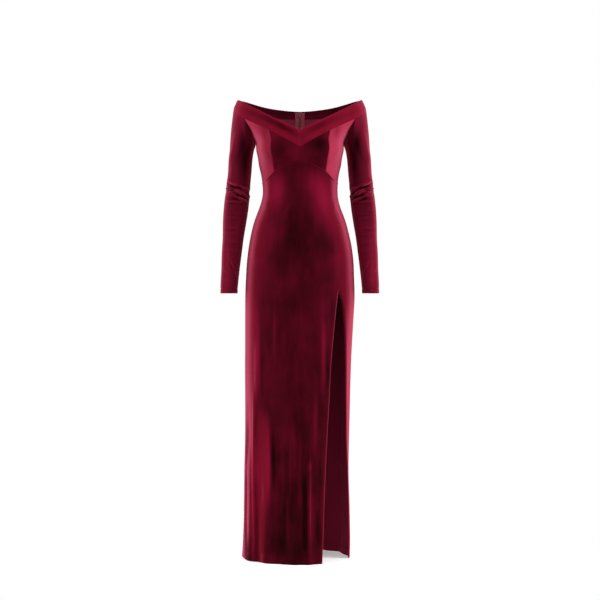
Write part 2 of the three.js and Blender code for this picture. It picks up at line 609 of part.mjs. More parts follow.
// Closed body of a panel: outer face, inner face and the rims between them
function wallGeometry(wall) {
  const { rows, normals, sinks, thickness, closed } = wall;
  const rowCount = rows.length;
  const columnCount = rows[0].length;
  const towards = (from, to) => to.clone().sub(from).normalize();
  const trimmed = rows.map((row, i) => row.map((point, j) => {
    const shift = new THREE.Vector3();
    if (i === 0) shift.add(towards(point, rows[1][j]));
    if (i === rowCount - 1) shift.add(towards(point, rows[rowCount - 2][j]));
    if (!closed && j === 0) shift.add(towards(point, row[1]));
    if (!closed && j === columnCount - 1) shift.add(towards(point, row[columnCount - 2]));
    return point.clone().addScaledVector(shift, SEAM_TRIM)
      .addScaledVector(normals[i][j], -sinks[i][j]);
  }));
  const inner = trimmed.map((row, i) => row.map((point, j) => (
    point.clone().addScaledVector(normals[i][j], -thickness(i)))));
  if (wall.notch) {
    [trimmed, inner].forEach((face) => {
      face[0][columnCount - 1].x += Math.sign(face[0][columnCount - 2].x) * wall.notch;
    });
  }
  const points = [...trimmed.flat(), ...inner.flat()];
  const layer = rowCount * columnCount;
  const outerAt = (i, j) => i * columnCount + (j % columnCount);
  const innerAt = (i, j) => layer + outerAt(i, j);
  const faces = [];
  const quad = (a, b, c, d) => faces.push(a, b, c, a, c, d);
  const lastRow = rowCount - 1;
  const lastColumn = closed ? columnCount : columnCount - 1;
  for (let j = 0; j < lastColumn; j += 1) {
    for (let i = 0; i < lastRow; i += 1) {
      quad(outerAt(i, j), outerAt(i + 1, j), outerAt(i + 1, j + 1), outerAt(i, j + 1));
      quad(innerAt(i, j), innerAt(i, j + 1), innerAt(i + 1, j + 1), innerAt(i + 1, j));
    }
    quad(outerAt(0, j), outerAt(0, j + 1), innerAt(0, j + 1), innerAt(0, j));
    quad(outerAt(lastRow, j + 1), outerAt(lastRow, j), innerAt(lastRow, j), innerAt(lastRow, j + 1));
  }
  if (!closed) {
    for (let i = 0; i < lastRow; i += 1) {
      quad(outerAt(i + 1, 0), outerAt(i, 0), innerAt(i, 0), innerAt(i + 1, 0));
      quad(outerAt(i, lastColumn), outerAt(i + 1, lastColumn), innerAt(i + 1, lastColumn),
        innerAt(i, lastColumn));
    }
  }
  const geometry = new THREE.BufferGeometry();
  geometry.setAttribute('position', new THREE.Float32BufferAttribute(
    points.flatMap((point) => point.toArray()), 3));
  geometry.setIndex(faces);
  return facingOut(geometry);
}

// The same geometry with its faces turned outwards, found from the sign of its volume
function facingOut(geometry) {
  const position = geometry.getAttribute('position');
  const index = geometry.getIndex().array;
  const corner = (k) => new THREE.Vector3().fromBufferAttribute(position, index[k]);
  let volume = 0;
  for (let k = 0; k < index.length; k += 3) {
    volume += corner(k).dot(corner(k + 1).cross(corner(k + 2)));
  }
  if (volume < 0) {
    for (let k = 0; k < index.length; k += 3) [index[k], index[k + 1]] = [index[k + 1], index[k]];
  }
  return geometry;
}

// Strip that lies inside the centre back: distances from the centre plane, heights, how deep it
// lies behind the outer face, and its own thickness
function zipStrip(name, distances, heights, depth, thickness) {
  const place = (distance, z) => {
    const turn = THREE.MathUtils.radToDeg(Math.asin(distance / bodyRing(z, 'left')));
    const angle = 180 - turn;
    const normal = bodyNormal(angle, z);
    return { point: bodyPoint(angle, z).addScaledVector(normal, -depth(z)), normal };
  };
  const grid = heights.map((z) => distances.map((distance) => place(distance, z)));
  return panel(name, grid.map((row) => row.map(({ point }) => point)),
    grid.map((row) => row.map(({ normal }) => normal)), () => thickness);
}

// Depth of the tapes' faces behind the outer face: the band is thicker than the bodice
const tapeDepth = (z) => THREE.MathUtils.lerp(
  CLOTH, BAND_CLOTH, smooth(TAPE_STEP.low, TAPE_STEP.high, z)) + ZIP.gap;

// Heights at which the strips bend, the same as the panels that they lie on
const centreBackRows = () => {
  const bodice = bodiceColumn(1, backColumn(180), backTop).map(({ z }) => z);
  const yoke = YOKE_ROWS.slice(1).map((part) => archHeight(180) + (YOKE_END - archHeight(180)) * part);
  return [...bodice, ...yoke, ...SKIRT_ROWS].filter((z) => z > ZIP.bottom + COIL_END);
};

function zipStrips() {
  const bends = centreBackRows();
  const inner = ZIP.edge;
  const outer = inner + ZIP.tapeWidth;
  const distances = [inner, (inner + outer) / 2, outer];
  const heights = [ZIP.top, ...bends, ZIP.bottom];
  const coilHeights = [ZIP.coilTop, ...bends, ZIP.bottom + COIL_END];
  const coilHalf = ZIP.coilWidth / 2;
  return [
    zipStrip('zip_tape_left', distances, heights, tapeDepth, ZIP.tapeCloth),
    zipStrip('zip_tape_right', distances.map((x) => -x), heights, tapeDepth, ZIP.tapeCloth),
    zipStrip('zip_coil', [-coilHalf, 0, coilHalf], coilHeights,
      (z) => tapeDepth(z) + ZIP.tapeCloth + ZIP.gap, ZIP.coilDepth),
  ];
}

const wasm = await Module();
wasm.setup();

// Closed solid of a geometry, for joining and cutting
function solidOf(geometry) {
  const bare = geometry.index ? geometry.toNonIndexed() : geometry.clone();
  bare.deleteAttribute('normal');
  bare.deleteAttribute('uv');
  const merged = mergeVertices(bare, 1e-4);
  return new wasm.Manifold(new wasm.Mesh({
    numProp: 3,
    vertProperties: new Float32Array(merged.getAttribute('position').array),
    triVerts: new Uint32Array(merged.getIndex().array),
  }));
}

function geometryOf(solid) {
  const mesh = solid.getMesh();
  const geometry = new THREE.BufferGeometry();
  geometry.setAttribute('position', new THREE.Float32BufferAttribute(mesh.vertProperties, 3));
  geometry.setIndex(Array.from(mesh.triVerts));
  return geometry;
}

const block = (x0, x1, y0, y1, z0, z1) => solidOf(
  new THREE.BoxGeometry(x1 - x0, y1 - y0, z1 - z0)
    .translate((x0 + x1) / 2, (y0 + y1) / 2, (z0 + z1) / 2));

// Round bar along X
const bar = (x0, x1, y, z, radius) => solidOf(
  new THREE.CylinderGeometry(radius, radius, x1 - x0, 16).rotateZ(Math.PI / 2)
    .translate((x0 + x1) / 2, y, z));

// Plate with an outline in X and Z, between two depths
function plate(shape, y0, y1) {
  const geometry = new THREE.ExtrudeGeometry(shape, {
    depth: y1 - y0, bevelEnabled: false, curveSegments: 6,
  });
  return solidOf(geometry.rotateX(Math.PI / 2).translate(0, y1, 0));
}

function zipSlider() {
  const shield = new THREE.Shape();
  const waist = (SLIDER.top + SLIDER.bottom) / 2;
  shield.moveTo(-SLIDER.halfBottom, SLIDER.bottom);
  shield.lineTo(SLIDER.halfBottom, SLIDER.bottom);
  shield.quadraticCurveTo(SLIDER.halfBottom, waist, SLIDER.halfTop, SLIDER.top - 1);
  shield.quadraticCurveTo(0, SLIDER.top + 1, -SLIDER.halfTop, SLIDER.top - 1);
  shield.quadraticCurveTo(-SLIDER.halfBottom, waist, -SLIDER.halfBottom, SLIDER.bottom);
  const back = SLIDER.face - SLIDER.depth;
  return [
    block(-2 * NECK.half, 2 * NECK.half, back + 0.6, SLIDER.face, waist, NECK.high),
    block(-NECK.half, NECK.half, back + 0.6, PIN.y, NECK.low, NECK.high),
    bar(-PIN.half, PIN.half, PIN.y, PIN.z, PIN.radius),
    bar(-PIN.half, -PIN.headFrom, PIN.y, PIN.z, PIN.head),
    bar(PIN.headFrom, PIN.half, PIN.y, PIN.z, PIN.head),
  ].reduce((sum, solid) => sum.add(solid), plate(shield, back, SLIDER.face));
}

function zipPull() {
  const top = PIN.z - PULL.ear - 0.4;
  const bottom = PIN.z - PULL.length;
  const tab = new THREE.Shape();
  tab.moveTo(-PULL.halfTop, top);
  tab.lineTo(PULL.halfTop, top);
  tab.lineTo(PULL.halfBottom, bottom + PULL.halfBottom);
  tab.absarc(0, bottom + PULL.halfBottom, PULL.halfBottom, 0, -Math.PI, true);
  tab.lineTo(-PULL.halfTop, top);
  const eye = new THREE.Path();
  eye.absarc(0, bottom + PULL.halfBottom, PULL.eye, 0, 2 * Math.PI, false);
  tab.holes.push(eye);
  const half = PULL.cloth / 2;
  const ears = [-1, 1].flatMap((side) => {
    const [from, to] = [side * PULL.earFrom, side * PULL.earTo].sort((a, b) => a - b);
    return [
      bar(from, to, PIN.y, PIN.z, PULL.ear),
      block(from, to, PIN.y - half, PIN.y + half, top - 0.2, PIN.z),
    ];
  });
  return ears.reduce((sum, solid) => sum.add(solid), plate(tab, PIN.y - half, PIN.y + half))
    .subtract(bar(-PIN.half, PIN.half, PIN.y, PIN.z, PULL.bore));
}

const velvet = () => new THREE.MeshStandardMaterial({
  color: 0x5c0a22, roughness: 0.85, metalness: 0, side: THREE.DoubleSide,
});
const tapeCloth = () => new THREE.MeshStandardMaterial({ color: 0x602535, roughness: 0.9, metalness: 0 });
const lacquer = () => new THREE.MeshStandardMaterial({ color: 0x4a1220, roughness: 0.35, metalness: 0.6 });

const walls = [
  ...[[1, 'left'], [-1, 'right']].flatMap(([side, word]) => [
    bandPanel(side, word), ...bodicePanels(side, word), sleevePanel(side, word),
  ]),
  ...skirtPanels(),
];
mitreEdges(walls);
const strips = zipStrips();
wallSinks(strips);

const gown = new THREE.Group();
const place = (name, geometry, material) => {
  geometry.computeVertexNormals();
  const mesh = new THREE.Mesh(geometry, material);
  mesh.name = name;
  gown.add(mesh);
};
walls.forEach((wall) => place(wall.name, wallGeometry(wall), velvet()));
strips.forEach((strip) => place(strip.name, wallGeometry(strip), tapeCloth()));
place('zip_slider', geometryOf(zipSlider()), lacquer());
place('zip_pull', geometryOf(zipPull()), lacquer());

export default gown;
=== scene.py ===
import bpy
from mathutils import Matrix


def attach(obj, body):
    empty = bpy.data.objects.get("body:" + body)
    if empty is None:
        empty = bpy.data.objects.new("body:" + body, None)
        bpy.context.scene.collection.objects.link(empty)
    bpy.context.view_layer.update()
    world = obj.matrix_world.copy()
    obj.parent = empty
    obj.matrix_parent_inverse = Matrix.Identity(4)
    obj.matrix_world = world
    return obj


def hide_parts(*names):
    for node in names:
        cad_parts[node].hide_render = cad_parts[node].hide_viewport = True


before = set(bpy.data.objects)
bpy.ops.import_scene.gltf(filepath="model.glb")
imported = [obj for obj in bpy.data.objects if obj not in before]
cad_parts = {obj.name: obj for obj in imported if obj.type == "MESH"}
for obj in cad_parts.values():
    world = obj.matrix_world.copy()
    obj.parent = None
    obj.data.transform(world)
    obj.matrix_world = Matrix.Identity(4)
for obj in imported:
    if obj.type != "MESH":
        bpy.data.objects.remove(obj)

"""Looks of a wine stretch-velvet, off-the-shoulder maxi dress, filled out as it hangs when worn.

Sizes are in millimetres in the tables and metres in the meshes. +Z is up, the front faces -Y and
the wearer's left is +X. The origin is the middle of the body at underarm level. Angles round the
body start at the centre front and grow towards +X; angles round an arm start at its front and grow
outwards. Left and right in names are the wearer's.
"""

import logging
import math
from dataclasses import dataclass, field, replace
from enum import Enum
from typing import Callable, Sequence

import bpy
import numpy as np
from mathutils import Vector

MM = 0.001
BODY = "dress"
LOG = logging.getLogger("dress")

Array = np.ndarray
Rows = Sequence[tuple[float, ...]]


class Side(Enum):
    """A side of the dress, with the sign of its X."""

    LEFT = 1
    RIGHT = -1

    @property
    def word(self) -> str:
        """The side's name as it stands in the names of pieces."""
        return self.name.lower()


def smooth(low: float, high: float, at: Array) -> Array:
    """Smooth step.

    Args:
        low: Where the step starts.
        high: Where it ends; it may be below low.
        at: Where it is read.

    Returns:
        0 before low, 1 past high, and a soft ramp between them.
    """
    t = np.clip((at - low) / (high - low), 0.0, 1.0)
    return t * t * (3 - 2 * t)


def bell(offset: Array) -> Array:
    """A bell curve of height 1 whose half width is 1."""
    return np.exp(-0.5 * offset * offset)


@dataclass(frozen=True)
class Table:
    """Rows of sizes and the smooth curve through them.

    Attributes:
        columns: Names of the columns, the first one the key.
        rows: The rows, in any order.
    """

    columns: tuple[str, ...]
    rows: Rows

    def at(self, key: Array, column: str) -> Array:
        """Reads one column on the smooth curve.

        Args:
            key: Values of the first column.
            column: Name of the column to read.

        Returns:
            The column's values at the keys, held level past the ends.
        """
        rows = sorted(self.rows)
        x = np.array([row[0] for row in rows], float)
        y = np.array([row[self.columns.index(column)] for row in rows], float)
        chord = np.diff(y) / np.diff(x)
        mean = (chord[1:] + chord[:-1]) / 2
        limit = 3 * np.minimum(np.abs(chord[1:]), np.abs(chord[:-1]))
        bounded = np.sign(mean) * np.minimum(np.abs(mean), limit)
        inner = np.where(chord[1:] * chord[:-1] <= 0, 0.0, bounded)
        slope = np.concatenate([[chord[0]], inner, [chord[-1]]])
        key = np.asarray(key, float)
        k = np.clip(np.searchsorted(x, key, side="left") - 1, 0, len(x) - 2)
        span = x[k + 1] - x[k]
        t = np.clip((key - x[k]) / span, 0.0, 1.0)
        rise = y[k + 1] - y[k]
        start, end = slope[k] * span, slope[k + 1] * span
        return y[k] + t * (start + t * (3 * rise - 2 * start - end + t * (start + end - 2 * rise)))


BODY_RINGS = Table(("z", "right", "left", "front", "back", "power"), (
    (112, 207, 207, 90, 95, 2), (100, 205, 205, 93, 96.5, 2), (70, 195, 195, 100, 98, 2),
    (42, 163, 163, 103, 98.5, 2), (21, 146.5, 146.5, 105, 98.5, 2), (0, 134.5, 134.5, 106, 98, 2),
    (-20, 132.5, 133.5, 106, 96, 2), (-42, 128, 129, 103, 93.5, 2), (-67, 124.5, 125.5, 97, 90, 2),
    (-91, 119, 120, 91.5, 86, 2), (-116, 115, 116.5, 87.5, 82, 2), (-146, 113, 115.5, 86, 80, 2),
    (-165, 115, 117, 87, 82, 2), (-189, 121.5, 122.5, 89, 86, 2), (-213, 130.5, 131.5, 91, 91.5, 2),
    (-238, 139.5, 140.5, 93.5, 97.5, 2), (-262, 146, 147, 95.5, 103.5, 2),
    (-311, 155.5, 158, 99, 114.5, 2), (-360, 161.5, 164, 101, 122, 2),
    (-409, 164.5, 166, 102, 125, 2), (-460, 166.5, 167.5, 102.5, 125, 2),
    (-549, 167, 163, 103, 121, 2), (-659, 167, 157, 104, 118, 2), (-768, 166, 153.5, 106, 119, 1.96),
    (-878, 167, 151, 109, 124, 1.92), (-988, 169.5, 149, 113, 132, 1.88),
    (-1098, 170.5, 152, 118, 142, 1.84), (-1208, 173.5, 154.5, 122.5, 152, 1.8),
    (-1262, 176.5, 152.5, 125, 157, 1.8),
))
ARM_RINGS = Table(("z", "inner", "outer", "middle", "depth"), (
    (110, 152, 202, 2, 51), (70, 145, 207, 2, 50), (35, 139, 210.5, 1, 49), (0, 134.5, 213, 0, 48),
    (-18, 139.5, 214, 0, 47), (-42, 143.5, 217, 1, 46), (-91, 148, 220, 3, 44),
    (-140, 152.5, 226, 5, 43), (-189, 156, 232, 4, 41.5), (-238, 163, 235, 1, 39),
    (-287, 171, 235.5, -4, 36.5), (-335, 177, 238, -9, 34), (-384, 183, 239, -14, 32),
    (-433, 188, 241.3, -18, 30.5), (-456, 189, 241.5, -20, 30.5),
))
FRONT_TOP = Table(("angle", "z"), (
    (0, -20), (17.8, 6), (34.3, 33), (46.3, 52), (57.2, 70),
))
FRONT_ARMHOLE = Table(("angle", "z"), (
    (57.2, 70), (64.4, 42), (72.2, 21), (81, 6), (90, 0),
))
BACK_ARMHOLE = Table(("angle", "z"), (
    (90, 0), (101, 8), (112, 25), (127, 60), (133, 100),
))
BACK_TOP = Table(("angle", "z"), (
    (133, 100), (140, 97.5), (160, 90.5), (180, 88),
))
FRONT_JUNCTION = 57.2
BACK_JUNCTION = 133.0
BAND_OVER_ARM = (
    (80, 192.8, 86), (90, 203, 102), (99.5, 195, 104), (107, 180.5, 103),
)
BAND_TOP = Table(("bearing", "reach", "z"), (
    (0, 111, 30.5), (21.3, 116, 52), (40.6, 130.5, 72), (55, 146.5, 91), (67.5, 162.3, 108.5),
    (78.7, 178.5, 125), (90, 189, 135.5), (98.8, 183.5, 136.5), (106.8, 173.4, 135.5),
    (116.7, 155.6, 129.5), (128.3, 133.8, 122), (153.7, 103.8, 114.5), (168, 97, 112.5),
    (180, 95, 111.6),
))
WAIST_ARCH = Table(("angle", "z"), (
    (0, -59.5), (14, -65.5), (29.5, -79.5), (42, -91), (58.7, -106), (75, -114), (90, -116),
    (135, -116), (180, -116),
))
CUP_SEAM = Table(("z", "angle"), (
    (70, 33), (40, 33), (0, 32.6), (-45, 34), (-83, 39.3), (-116, 41),
))
SKIRT_EDGES = Table(("z", "princess", "slit_inner", "slit_outer", "side_right", "side_left"), (
    (-60, 90, 90, 90, 90, 90), (-146, 91.5, 91.5, 91.5, 90, 90), (-255, 96, 96, 96, 90, 90),
    (-350, 107, 107, 107, 90, 90), (-446, 117, 117, 117, 90, 90),
    (-487, 120, 112.3, 127.3, 90, 91), (-558, 123, 105, 134.3, 91, 93),
    (-674, 128, 95, 137.9, 93, 97), (-777, 133, 89.7, 139, 95, 101), (-893, 138, 83, 141, 98, 105),
    (-1022, 142, 77, 146.5, 101, 109), (-1135, 146, 73, 150, 103, 113),
    (-1262, 148, 68.5, 151, 105, 116),
))
HEM = -1262.0
SLIT_TOP = -446.0
CUFF_END = -456.0
ZIP_END = -300.0
# Heights between which the skirt's rows, and then a sleeve's, bend to follow the upper edge.
NOMINAL_WAIST = -80.0
YOKE_END = -146.0
NOMINAL_CAP = 60.0
CAP_END = -34.0
# Depths of the turned hems, and the distance of the close rows at their upper edge.
SKIRT_HEM = 22.0
SLEEVE_HEM = 16.0
HEM_ROW_GAP = 0.8
# Radii by which a turn becomes a distance on the body and on an arm.
BODY_RADIUS = 150.0
ARM_RADIUS = 38.0
# A height past everything.
FAR = 9999.0
# Distances from an edge at which points stand, the largest share of a run that they may take
# at each end, and the least distance between two places.
NEAR_EDGE = (0.0, 0.15, 0.45, 0.9, 1.5, 2.4, 3.8, 5.6, 7.8, 9.4)
NEAR_SHARE = 0.4
LEAST_GAP = 0.1
# How many points stand for a neck seam, for half an armhole and for a panel's width.
NECK_POINTS = 80
ARMHOLE_POINTS = 60
WIDTH_POINTS = 200


@dataclass(frozen=True)
class Bust:
    """A general pair of cups that the bodice is cut for.

    Attributes:
        angle: Where each cup is fullest, round the body.
        z: Its fullest height.
        reach: How far the cloth stands out there.
        spread: Its half width in degrees.
        above: Its half height above.
        below: Its half height below.
    """

    angle: float = 37.0
    z: float = -24.0
    reach: float = 30.0
    spread: float = 17.5
    above: float = 46.0
    below: float = 30.0

    def out(self, angle: Array, z: Array) -> Array:
        """How far the cups push the cloth out at an angle and height."""
        rise = np.where(z > self.z, self.above, self.below)
        return self.reach * bell((np.abs(angle) - self.angle) / self.spread) * bell((z - self.z) / rise)


@dataclass(frozen=True)
class Fold:
    """A large soft fold of the skirt, which opens downwards.

    Attributes:
        angle: Where it hangs, round the body.
        width: Half its width in degrees.
        top: Where it starts.
        full: Where it reaches its full depth.
        depth: Its depth, a ridge above zero and a trough below.
    """

    angle: float
    width: float
    top: float
    full: float
    depth: float

    def out(self, angle: Array, z: Array) -> Array:
        """How far the fold moves the cloth at an angle and height."""
        turn = half_turn(angle - self.angle)
        return self.depth * smooth(-self.top, -self.full, -z) * bell(turn / self.width)


def half_turn(angle: Array) -> Array:
    """An angle brought between -180 and 180 degrees."""
    return (np.asarray(angle, float) + 540) % 360 - 180


# Shares of a crease's length over which it rises, and the place and width of its hollow.
CREASE_END = (-0.08, 0.3)
HOLLOW_PLACE = 2.3
HOLLOW_WIDTH = 1.2


@dataclass(frozen=True)
class Crease:
    """A fine crease of the cloth between two points of its face.

    Attributes:
        start: Angle and height of one end.
        end: Angle and height of the other end.
        width: Half its width in millimetres.
        height: Its height, a ridge above zero and a trough below.
        bow: How far its middle is bowed to one side.
        hollow: Depth of the hollow beside it, as a share of its height.
    """

    start: tuple[float, float]
    end: tuple[float, float]
    width: float
    height: float
    bow: float = 0.0
    hollow: float = 0.0

    def out(self, angle: Array, z: Array, radius: float) -> Array:
        """How far the crease moves the cloth.

        Args:
            angle: Angles of the points.
            z: Heights of the points.
            radius: Radius by which a turn becomes a distance on the face.

        Returns:
            The move along the face's normal.
        """
        along = np.radians(half_turn(self.end[0] - self.start[0])) * radius
        rise = self.end[1] - self.start[1]
        length = math.hypot(along, rise)
        u = np.radians(half_turn(angle - self.start[0])) * radius
        v = z - self.start[1]
        share = (u * along + v * rise) / length**2
        across = (v * along - u * rise) / length - self.bow * 4 * share * (1 - share)
        ends = smooth(*CREASE_END, share) * smooth(*CREASE_END, 1 - share)
        ridge = bell(across / self.width)
        beside = bell((across - HOLLOW_PLACE * self.width) / (HOLLOW_WIDTH * self.width))
        return self.height * ends * (ridge - self.hollow * beside)


@dataclass(frozen=True)
class ElbowFold:
    """A large fold across the bend of the elbow.

    Attributes:
        z: Height of its middle.
        angle: Where it lies, round the arm.
        reach: How far it reaches to each side, in degrees.
        rise: How far it rises over that reach.
        width: Half its width.
        depth: Its depth, a ridge above zero and a trough below.
    """

    z: float
    angle: float
    reach: float
    rise: float
    width: float
    depth: float

    def out(self, angle: Array, z: Array) -> Array:
        """How far the fold moves the cloth at an angle and height.

        Args:
            angle: Angle round the arm.
            z: Height.

        Returns:
            The move along the normal.
        """
        turn = half_turn(angle - self.angle)
        height = self.z + self.rise * (turn / self.reach)
        return self.depth * bell((z - height) / self.width) * bell(turn / (ELBOW_FADE * self.reach))


# Share of its reach at which an elbow fold has died away to three fifths.
ELBOW_FADE = 0.6
SKIRT_FOLDS = tuple(Fold(*row) for row in (
    (-58, 6, -700, -1050, 5), (-48, 5, -760, -1100, -5), (-37, 5, -740, -1150, 3.5),
    (-22, 6, -800, -1200, -3), (-6, 6, -900, -1220, 2), (3, 4, -940, -1150, -3),
    (11, 4, -930, -1120, 4), (20, 4, -900, -1150, -2.5), (-84, 8, -620, -1100, -4),
    (-104, 8, -560, -1150, 5), (-122, 7, -640, -1150, -7), (-138, 7, -560, -1100, 7),
    (-155, 7, -620, -1150, -6), (-171, 6, -700, -1200, 5), (170, 6, -640, -1150, -5),
    (156, 6, -560, -1100, 8), (142, 6, -600, -1100, -8), (128, 6, -540, -1050, 7),
    (112, 6, -600, -1150, -5),
))
SKIRT_CREASES = tuple(Crease(*row) for row in (
    ((-57.5, -760), (-54, -1262), 2.6, 2.6, 1), ((-66, -900), (-64, -1262), 8, 2.2),
    ((-36, -805), (-34, -1090), 5, 2.6, 3), ((-30, -850), (-29, -1060), 5, -1.6),
    ((11.5, -960), (11.5, -1275), 1.5, 2.2, 0, 0.5), ((6, -985), (7, -1230), 4, -1.6),
    ((-8, -830), (-5, -1010), 5, 1.3), ((1, -860), (0, -1120), 4, 1.1, -2),
    ((-20, -900), (-18, -1120), 4, 0.9, 2), ((22, -820), (21, -1150), 4, 1.0, 2),
    ((-14, -1010), (-12, -1240), 4, 1.0, -2), ((-46, -1060), (-45, -1262), 7, 1.8),
    ((17, -800), (17, -958), 4.5, 1.3), ((-26, -500), (-26, -660), 6, 1.3, -2),
    ((-17, -556), (-18, -660), 5, 1.0), ((25, -545), (26, -780), 6, 1.6, 2),
    ((31, -600), (32, -760), 6, -1.1), ((-49, -575), (-50, -780), 7, 1.6, -3),
    ((-43, -600), (-43, -770), 6, -1.1), ((-12, -170), (-20, -240), 9, 0.8),
    ((14, -180), (24, -250), 9, 0.8), ((-70, -330), (-40, -372), 12, 0.9, 5),
    ((44, -345), (20, -392), 12, 0.8, -5), ((-76, -170), (-50, -196), 6, 0.9, 3),
    ((76, -172), (52, -200), 6, 0.9, -3), ((-88, -640), (-90, -1180), 8, 1.8, 6),
    ((-78, -820), (-80, -1220), 6, -1.4, -4), ((101, -560), (110, -1240), 7, 2.2, 5),
    ((84, -700), (80, -1150), 6, 1.2, -4), ((-112, -520), (-116, -1200), 7, 1.9, -6),
    ((-130, -620), (-132, -1250), 6, 1.8, 5), ((-147, -480), (-149, -1180), 7, 2.1, 6),
    ((-163, -600), (-166, -1240), 6, 1.7, -5), ((176, -540), (177, -1200), 6, 1.3, 4),
    ((163, -580), (165, -1250), 6, 2.0, 5), ((149, -500), (148, -1220), 6, -1.6, -5),
    ((135, -560), (136, -1240), 6, 2.1, 6), ((120, -620), (124, -1210), 6, 1.6, -4),
    ((-120, -300), (-160, -356), 13, 0.9, 6), ((122, -312), (158, -362), 13, 0.9, -6),
    ((-150, -150), (-172, -178), 7, 0.9, 3), ((150, -152), (170, -180), 7, 0.9, -3),
))
BODICE_CREASES = tuple(Crease(*row) for row in (
    ((84, -2), (62, -26), 4, 0.9, 2), ((86, -14), (66, -40), 4, -0.8, 2),
    ((82, -30), (62, -58), 5, 0.7, 2), ((74, 20), (60, 2), 4, 0.7, 2),
    ((88, -84), (64, -98), 5, 0.6, 2), ((10, -34), (22, -48), 4, 0.5, 1),
    ((98, -6), (118, -30), 5, 0.9, -2), ((96, -22), (122, -50), 5, -0.7, -2),
    ((100, -82), (134, -98), 6, 0.7, -2), ((128, 40), (150, 22), 6, 0.7, -2),
    ((160, -70), (176, -84), 6, 0.6, 2),
))
ELBOW_FOLDS = tuple(ElbowFold(*row) for row in (
    (-124, 30, 70, 10, 6, 1.6), (-136, 10, 75, -9, 6, -2.2), (-147, -20, 80, -14, 6, 2.2),
    (-158, -40, 70, -12, 6, -2.4), (-169, -60, 60, -10, 6, 1.8), (-150, 180, 60, 6, 8, -1.4),
))
FINE_SLEEVE_CREASES = tuple(Crease(*row) for row in (
    ((18, 48), (58, -66), 6, 2.0, 3), ((-6, 30), (22, -70), 7, -0.9, -3),
    ((72, -106), (-14, -132), 3.0, 4.6, 2, 0.9), ((-6, -128), (-66, -146), 3.0, 3.6, 1, 0.8),
    ((88, -136), (8, -138), 2.2, 3.6, 1, 0.9), ((22, -137), (-74, -168), 3.0, 4.4, 2, 0.8),
    ((16, -160), (-62, -179), 2.6, 3.6, 1, 0.7), ((60, -175), (-60, -181), 2.0, 2.0, 1, 0.7),
    ((70, -150), (28, -160), 2.4, 1.2, -2, 0.5), ((-56, -156), (-100, -160), 2.4, 1.8, 1, 0.5),
    ((60, -198), (0, -202), 2.4, 0.8, 1, 0.5), ((30, -212), (-70, -216), 2.2, 0.7, 1, 0.5),
    ((66, -226), (-40, -229), 2.2, 0.8, -1, 0.5), ((58, -255), (-34, -259), 1.9, 1.6, 1, 0.6),
    ((-30, -262), (-80, -268), 2.2, 0.8, 1, 0.5), ((50, -272), (-20, -276), 2.4, 0.6, 1, 0.5),
    ((70, -297), (-50, -303), 2.4, 0.7, -1, 0.5), ((30, -322), (-70, -328), 2.6, 0.6, 1, 0.5),
    ((-2, -358), (-30, -384), 2.2, 2.0, 1, 0.6), ((-30, -384), (-56, -412), 2.4, 1.3, 1, 0.5),
    ((50, -374), (16, -398), 3, 0.9, 1, 0.4), ((60, -412), (-20, -418), 3, 0.6, 1, 0.4),
    ((150, -124), (232, -148), 2.6, 2.2, 3, 0.7), ((136, -158), (236, -144), 2.6, 2.0, -3, 0.7),
    ((126, -136), (214, -130), 2.6, 1.6, 2, 0.6), ((128, -186), (226, -196), 2.6, 1.4, 2, 0.6),
    ((120, -250), (210, -256), 2.6, 0.9, -2, 0.5), ((140, -330), (210, -338), 3, 0.8, 2, 0.5),
    ((110, 50), (140, -60), 8, 1.2, 4), ((170, 60), (180, -70), 9, 0.9, -4),
))


@dataclass(frozen=True)
class BodyForm:
    """The outer face of the bodice and skirt.

    Attributes:
        bust: The cups.
        folds: The skirt's large folds.
    """

    bust: Bust = Bust()
    folds: tuple[Fold, ...] = SKIRT_FOLDS

    def point(self, angle: Array, z: Array) -> Array:
        """Points of the face.

        Args:
            angle: Angles round the body.
            z: Heights.

        Returns:
            The points.
        """
        turn = np.radians(angle)
        across, along = np.sin(turn), np.cos(turn)
        power = 2 / BODY_RINGS.at(z, "power")
        half_width = np.where(across < 0, BODY_RINGS.at(z, "right"), BODY_RINGS.at(z, "left"))
        half_depth = np.where(along < 0, BODY_RINGS.at(z, "back"), BODY_RINGS.at(z, "front"))
        out = self.bust.out(angle, z) + sum(fold.out(angle, z) for fold in self.folds)
        x = half_width * np.sign(across) * np.abs(across) ** power + out * across
        y = -half_depth * np.sign(along) * np.abs(along) ** power - out * along
        return np.stack([x, y, z + 0 * x], axis=-1)

    def normal(self, angle: Array, z: Array) -> Array:
        """Outward normals of the face, by short steps along both directions.

        Args:
            angle: Angles round the body.
            z: Heights.

        Returns:
            Unit normals.
        """
        along_angle = self.point(angle + 0.5, z) - self.point(angle - 0.5, z)
        along_z = self.point(angle, z + 1) - self.point(angle, z - 1)
        return facing(np.cross(along_angle, along_z), outward(angle))

    def angle_at(self, distance: Array, z: Array, side: int) -> Array:
        """Angle at which the front lies a distance to one side of the centre plane.

        Args:
            distance: The distances.
            z: Heights.
            side: The sign of X on that side.

        Returns:
            The angles.
        """
        half_width = BODY_RINGS.at(z, "right" if side < 0 else "left")
        share = np.minimum(distance / half_width, 1.0)
        return side * np.degrees(np.arcsin(share ** (BODY_RINGS.at(z, "power") / 2)))


def unit(vectors: Array) -> Array:
    """Vectors scaled to length 1."""
    return vectors / np.maximum(np.linalg.norm(vectors, axis=-1, keepdims=True), 1e-12)


def facing(vectors: Array, towards: Array) -> Array:
    """Unit vectors turned so that each points towards its mate."""
    sign = np.where(np.sum(vectors * towards, axis=-1, keepdims=True) < 0, -1.0, 1.0)
    return unit(vectors) * sign


def outward(angle: Array) -> Array:
    """Level vectors away from the body's axis at angles."""
    turn = np.radians(angle)
    return np.stack([np.sin(turn), -np.cos(turn), 0 * turn], axis=-1)


